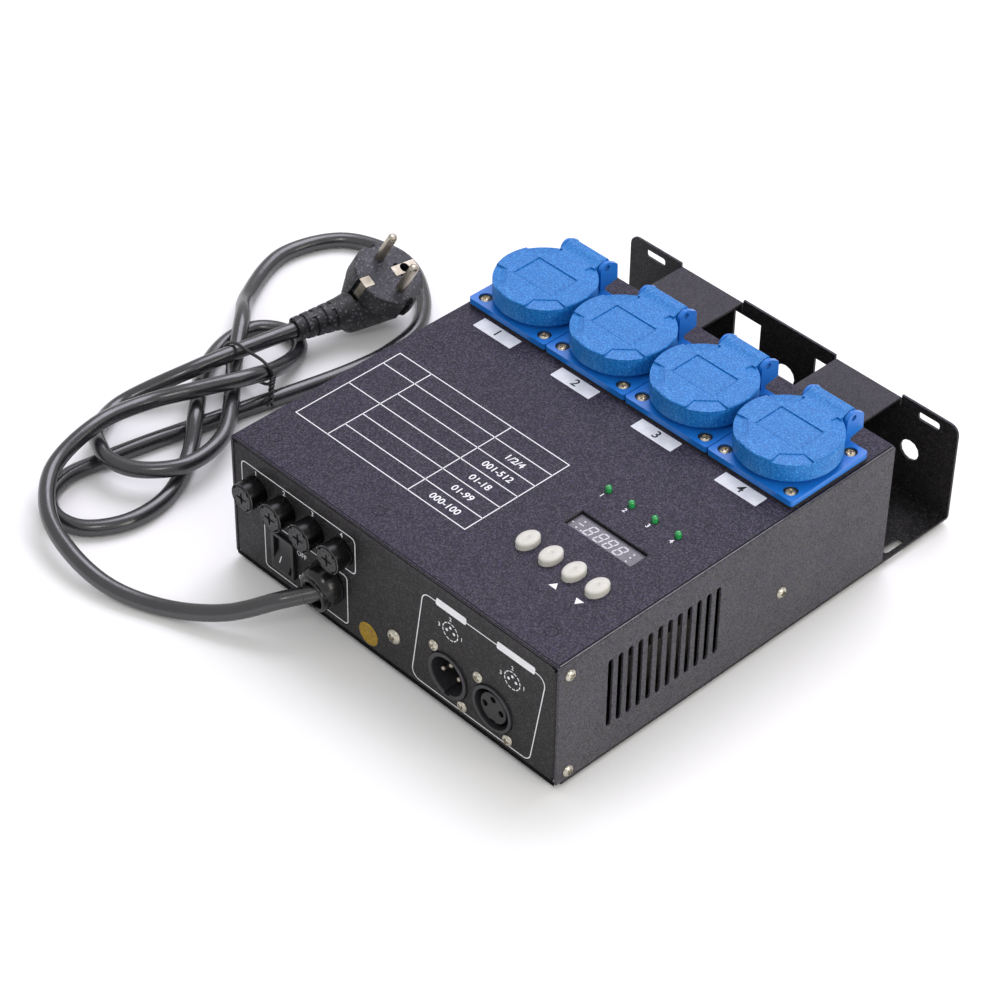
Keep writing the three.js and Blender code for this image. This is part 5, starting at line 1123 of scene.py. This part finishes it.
# Plug with its pins, earth contacts and ribbed strain relief
plug = {
    "spot": (-81.2, 168.3, 31.8), "turns": ((-5, "Z"), (27, "Y"), (-8.7, "X")), "puck": [
        (0, -14), (17.9, -14), (18.3, -13), (18.5, -12), (18.5, -1.5), (18.25, -0.75), (17.75, -0.22),
        (17, 0), (0, 0),
    ],
    "rear": [(0, 0, -11, 18.2, 18.2), (0, 0, -13.5, 18, 18), (-0.5, -1.5, -17, 15.6, 16.4),
             (-1, -3, -20, 12, 14), (-1, -4, -26, 7, 10)],
    "neck": (31, 9.4), "heel": (-87.8, 147.8, 10.2), "heelRadius": 6.5, "heelSteps": (10, 20),
    "socket": (2.6, -12, 2), "socketWay": 10, "channels": {-1: 3.3, 1: 4.5},
    "channelWay": (16.3, 20), "channelFloor": -16, "slits": (2.9, 3.9, 4.8, 7.2, -2),
    "notches": (16.1, 20, -2.6, 2.6, -18), "clipBeds": {-1: (-17, -11.2), 1: (2.5, 17)},
    "bedHalf": 3, "bedFloor": -0.55,
    "grips": (17.9, 20, -9.3, 3.2, 0.4, -24, -19.2), "gripCount": 5,
    "pins": (-9.5, 9.5), "pin": [(0, -0.4), (2.4, -0.4), (2.4, 16.9), (2.3, 17.7), (1.95, 18.4), (1.3, 18.85),
                                 (0.6, 19), (0, 19)],
    "frontClip": [(-2.9, 2.9, -17.6, -11.4, -0.5, 0), (-1.3, 2.9, -17.6, -16.5, -15, -0.05)],
    "rearClip": [(-2.8, 2.8, 2.6, 17.6, -0.5, 0), (-2.8, 2.8, 16.5, 17.6, -15, -0.05)],
    "clipHole": (2.55, -1, 1),
}
plugFrame = Matrix.Translation(fromTable(*plug["spot"]))
for degrees, axis in plug["turns"]:
    plugFrame @= spin(degrees, axis)
endWay = (routePoints[-1] - routePoints[-2]).normalized()
reliefFrame = towards(routePoints[-1], endWay)
inPlug = plugFrame.inverted()


def ringOf(x, y, along, wide, long, count=64):
    return [Vector((x + cos(a) * wide, y + sin(a) * long, along))
            for a in [2 * pi * k / count for k in range(count)]]


def hullOf(points):
    made = bmesh.new()
    for point in points:
        made.verts.new(point)
    bmesh.ops.convex_hull(made, input=made.verts)
    bmesh.ops.delete(made, geom=[vert for vert in made.verts if not vert.link_faces], context="VERTS")
    mesh = bpy.data.meshes.new("shape")
    made.to_mesh(mesh)
    made.free()
    return mesh


def plugShape():
    neckAlong, neckRadius = plug["neck"]
    neck = [(inPlug @ (reliefFrame @ (point * mm))) / mm
            for point in ringOf(0, 0, neckAlong, neckRadius, neckRadius, 40)]
    heelSpot = (inPlug @ fromTable(*plug["heel"])) / mm
    rows, columns = plug["heelSteps"]
    ball = [Vector((cos(a) * cos(b), sin(a) * cos(b), sin(b)))
            for b in [pi * (k / rows - 0.5) for k in range(rows + 1)]
            for a in [2 * pi * n / columns for n in range(columns)]]
    heel = [heelSpot + point * plug["heelRadius"] for point in ball]
    rear = hullOf([*[point for ring in plug["rear"] for point in ringOf(*ring)], *neck, *heel])
    cuts = [shifted(rod(*plug["socket"], 32), 0, plug["socketWay"])]
    near, far, first, pitch, half, low, high = plug["grips"]
    for sign in signs:
        channel, bed = plug["channels"][sign], plug["bedHalf"]
        cuts.append(block(-channel, channel, *sided(sign, *plug["channelWay"]), plug["channelFloor"], past))
        for inner, outer, *rest in (plug["slits"], plug["notches"]):
            cuts.append(block(*sided(sign, inner, outer), *rest, past))
        cuts.append(block(-bed, bed, *plug["clipBeds"][sign], plug["bedFloor"], past))
        for k in range(plug["gripCount"]):
            across = first + pitch * k
            cuts.append(block(*sided(sign, near, far), across - half, across + half, low, high))
    return carved(carved(turned(plug["puck"], 96), joins=[rear]), cuts=cuts)


plugTurn = Matrix.Translation(plugFrame.translation / mm) @ plugFrame.to_3x3().to_4x4()
put("plug_body", dressed(moved(plugShape(), plugTurn), "plug_plastic", 0.2, 30), stands=["plug"])
pin = dressed(turned(plug["pin"], 40), "nickel", 0, 50)
for k, x in enumerate(plug["pins"], 1):
    put(f"plug_pin_{k}", pin, plugFrame @ Matrix.Translation((x * mm, 0, 0)))
frontClip = merged([block(*size) for size in plug["frontClip"]])
strap, hook = [block(*size) for size in plug["rearClip"]]
hole = shifted(rod(*plug["clipHole"], 40), 0, plug["socketWay"])
for k, clip in enumerate((frontClip, merged([carved(strap, cuts=[hole]), hook])), 1):
    put(f"plug_earth_{k}", dressed(clip, "nickel", 0.15), plugFrame)

relief = {
    "ribs": 4, "length": 21, "start": 6, "growth": 1.7, "offset": 0.3, "face": 0.62, "groove": 1,
    "head": [(4.2, 0.6), (4.4, 0.3), (6, 0.3)],
    "collar": [(8.1, 25), (8.8, 29), (9.2, 31.5), (4.2, 31.5), (4.2, 0.6)],
    "web": (-1.8, -0.25, 1.6),
}


def reliefShape():
    ribs, start, growth, offset = relief["ribs"], relief["start"], relief["growth"], relief["offset"]
    pitch = relief["length"] / ribs
    profile, webs = [*relief["head"]], []
    webIn, webOut, webHalf = relief["web"]
    for k in range(ribs):
        inner, outer = start + growth * k / ribs, start + growth * (k + 1) / ribs
        edge, groove = inner + (outer - inner) * relief["face"], outer - relief["groove"]
        steps = [(edge, 0.6), (edge - 0.15, 0.64), (groove, 0.66), (groove, 0.96),
                 (outer - 0.15, 0.98), (outer, 1)]
        profile += [(radius, pitch * (k + along) + offset) for radius, along in steps]
        low, high = pitch * (k + 0.6), pitch * (k + 1) + offset
        for turn in (0, 180):
            web = block(outer + webIn, outer + webOut, -webHalf, webHalf, low, high)
            webs.append(spun(web, turn + 90 * (k % 2)))
    return merged([turned([*profile, *relief["collar"]], 64), *webs])


put("plug_relief", dressed(reliefShape(), "plug_plastic", 0, 40), reliefFrame)
print("plug made")


# Twisted ends of the wire tie
tailStart, tailEnd = (fromTable(x, tie["row"] + way, height) for x, way, height in tie["tail"])
tailWay = (tailEnd - tailStart).normalized()
tailSide = tailWay.cross(up).normalized()
tailRise = tailWay.cross(tailSide)
strands = []
for phase in (0, pi):
    strand = []
    for k in range(tie["tailSteps"] + 1):
        share = k / tie["tailSteps"]
        centre = tailStart.lerp(tailEnd, share) + up * (tie["sag"] * mm * sin(pi * share))
        angle = phase + share * pi * tie["halfTurns"]
        spread = tie["spread"] * mm * (1 + tie["flare"] * max(0, share - tie["flareFrom"]))
        strand.append(centre + (tailSide * cos(angle) + tailRise * sin(angle)) * spread)
    strands.append(strand)
tieTail = wire("tie_tail", strands, tie["tailRadius"], "black_plastic")
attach(tieTail, "base")
print("tie made")


# Floor and light; lengths in metres, power in watts
studio = {"floor": "#f7f7f7", "floorRough": 0.9, "floorReach": 6, "sky": "#ffffff", "skyStrength": 0.72}
lamps = {
    "softbox_top": {"spot": (-0.5, 0.9, 1.7), "size": 1.4, "power": 26, "colour": "#f4f0ff"},
    "softbox_right": {"spot": (1.9, 0.2, 0.8), "size": 1.1, "power": 16, "colour": "#fffaf2"},
    "spot_front": {"spot": (0.75, -0.95, 1.7), "size": 0.4, "power": 4, "colour": "#ffffff"},
}
floorMaterial = bpy.data.materials.new("floor_paper")
floorMaterial.use_nodes = True
floorShader = floorMaterial.node_tree.nodes["Principled BSDF"]
floorShader.inputs["Base Color"].default_value = tint(studio["floor"])
floorShader.inputs["Roughness"].default_value = studio["floorRough"]
floorMesh = bpy.data.meshes.new("floor")
reach = studio["floorReach"]
floorMesh.from_pydata([(-reach, -reach, 0), (reach, -reach, 0), (reach, reach, 0), (-reach, reach, 0)], [],
                      [(0, 1, 2, 3)])
floorMesh.materials.append(floorMaterial)
floor = linked("floor", floorMesh)

world = bpy.data.worlds.new("studio")
world.use_nodes = True
background = world.node_tree.nodes["Background"]
background.inputs["Color"].default_value = tint(studio["sky"])
background.inputs["Strength"].default_value = studio["skyStrength"]
bpy.context.scene.world = world
bpy.context.scene.view_settings.view_transform = "Standard"

for name, settings in lamps.items():
    lamp = bpy.data.lights.new(name, "AREA")
    lamp.shape = "SQUARE"
    lamp.size = settings["size"]
    lamp.energy = settings["power"]
    lamp.color = tint(settings["colour"])[:3]
    obj = linked(name, lamp)
    obj.location = settings["spot"]
    obj.rotation_mode = "QUATERNION"
    obj.rotation_quaternion = (-Vector(settings["spot"])).to_track_quat("-Z", "Y")
print("stage set")
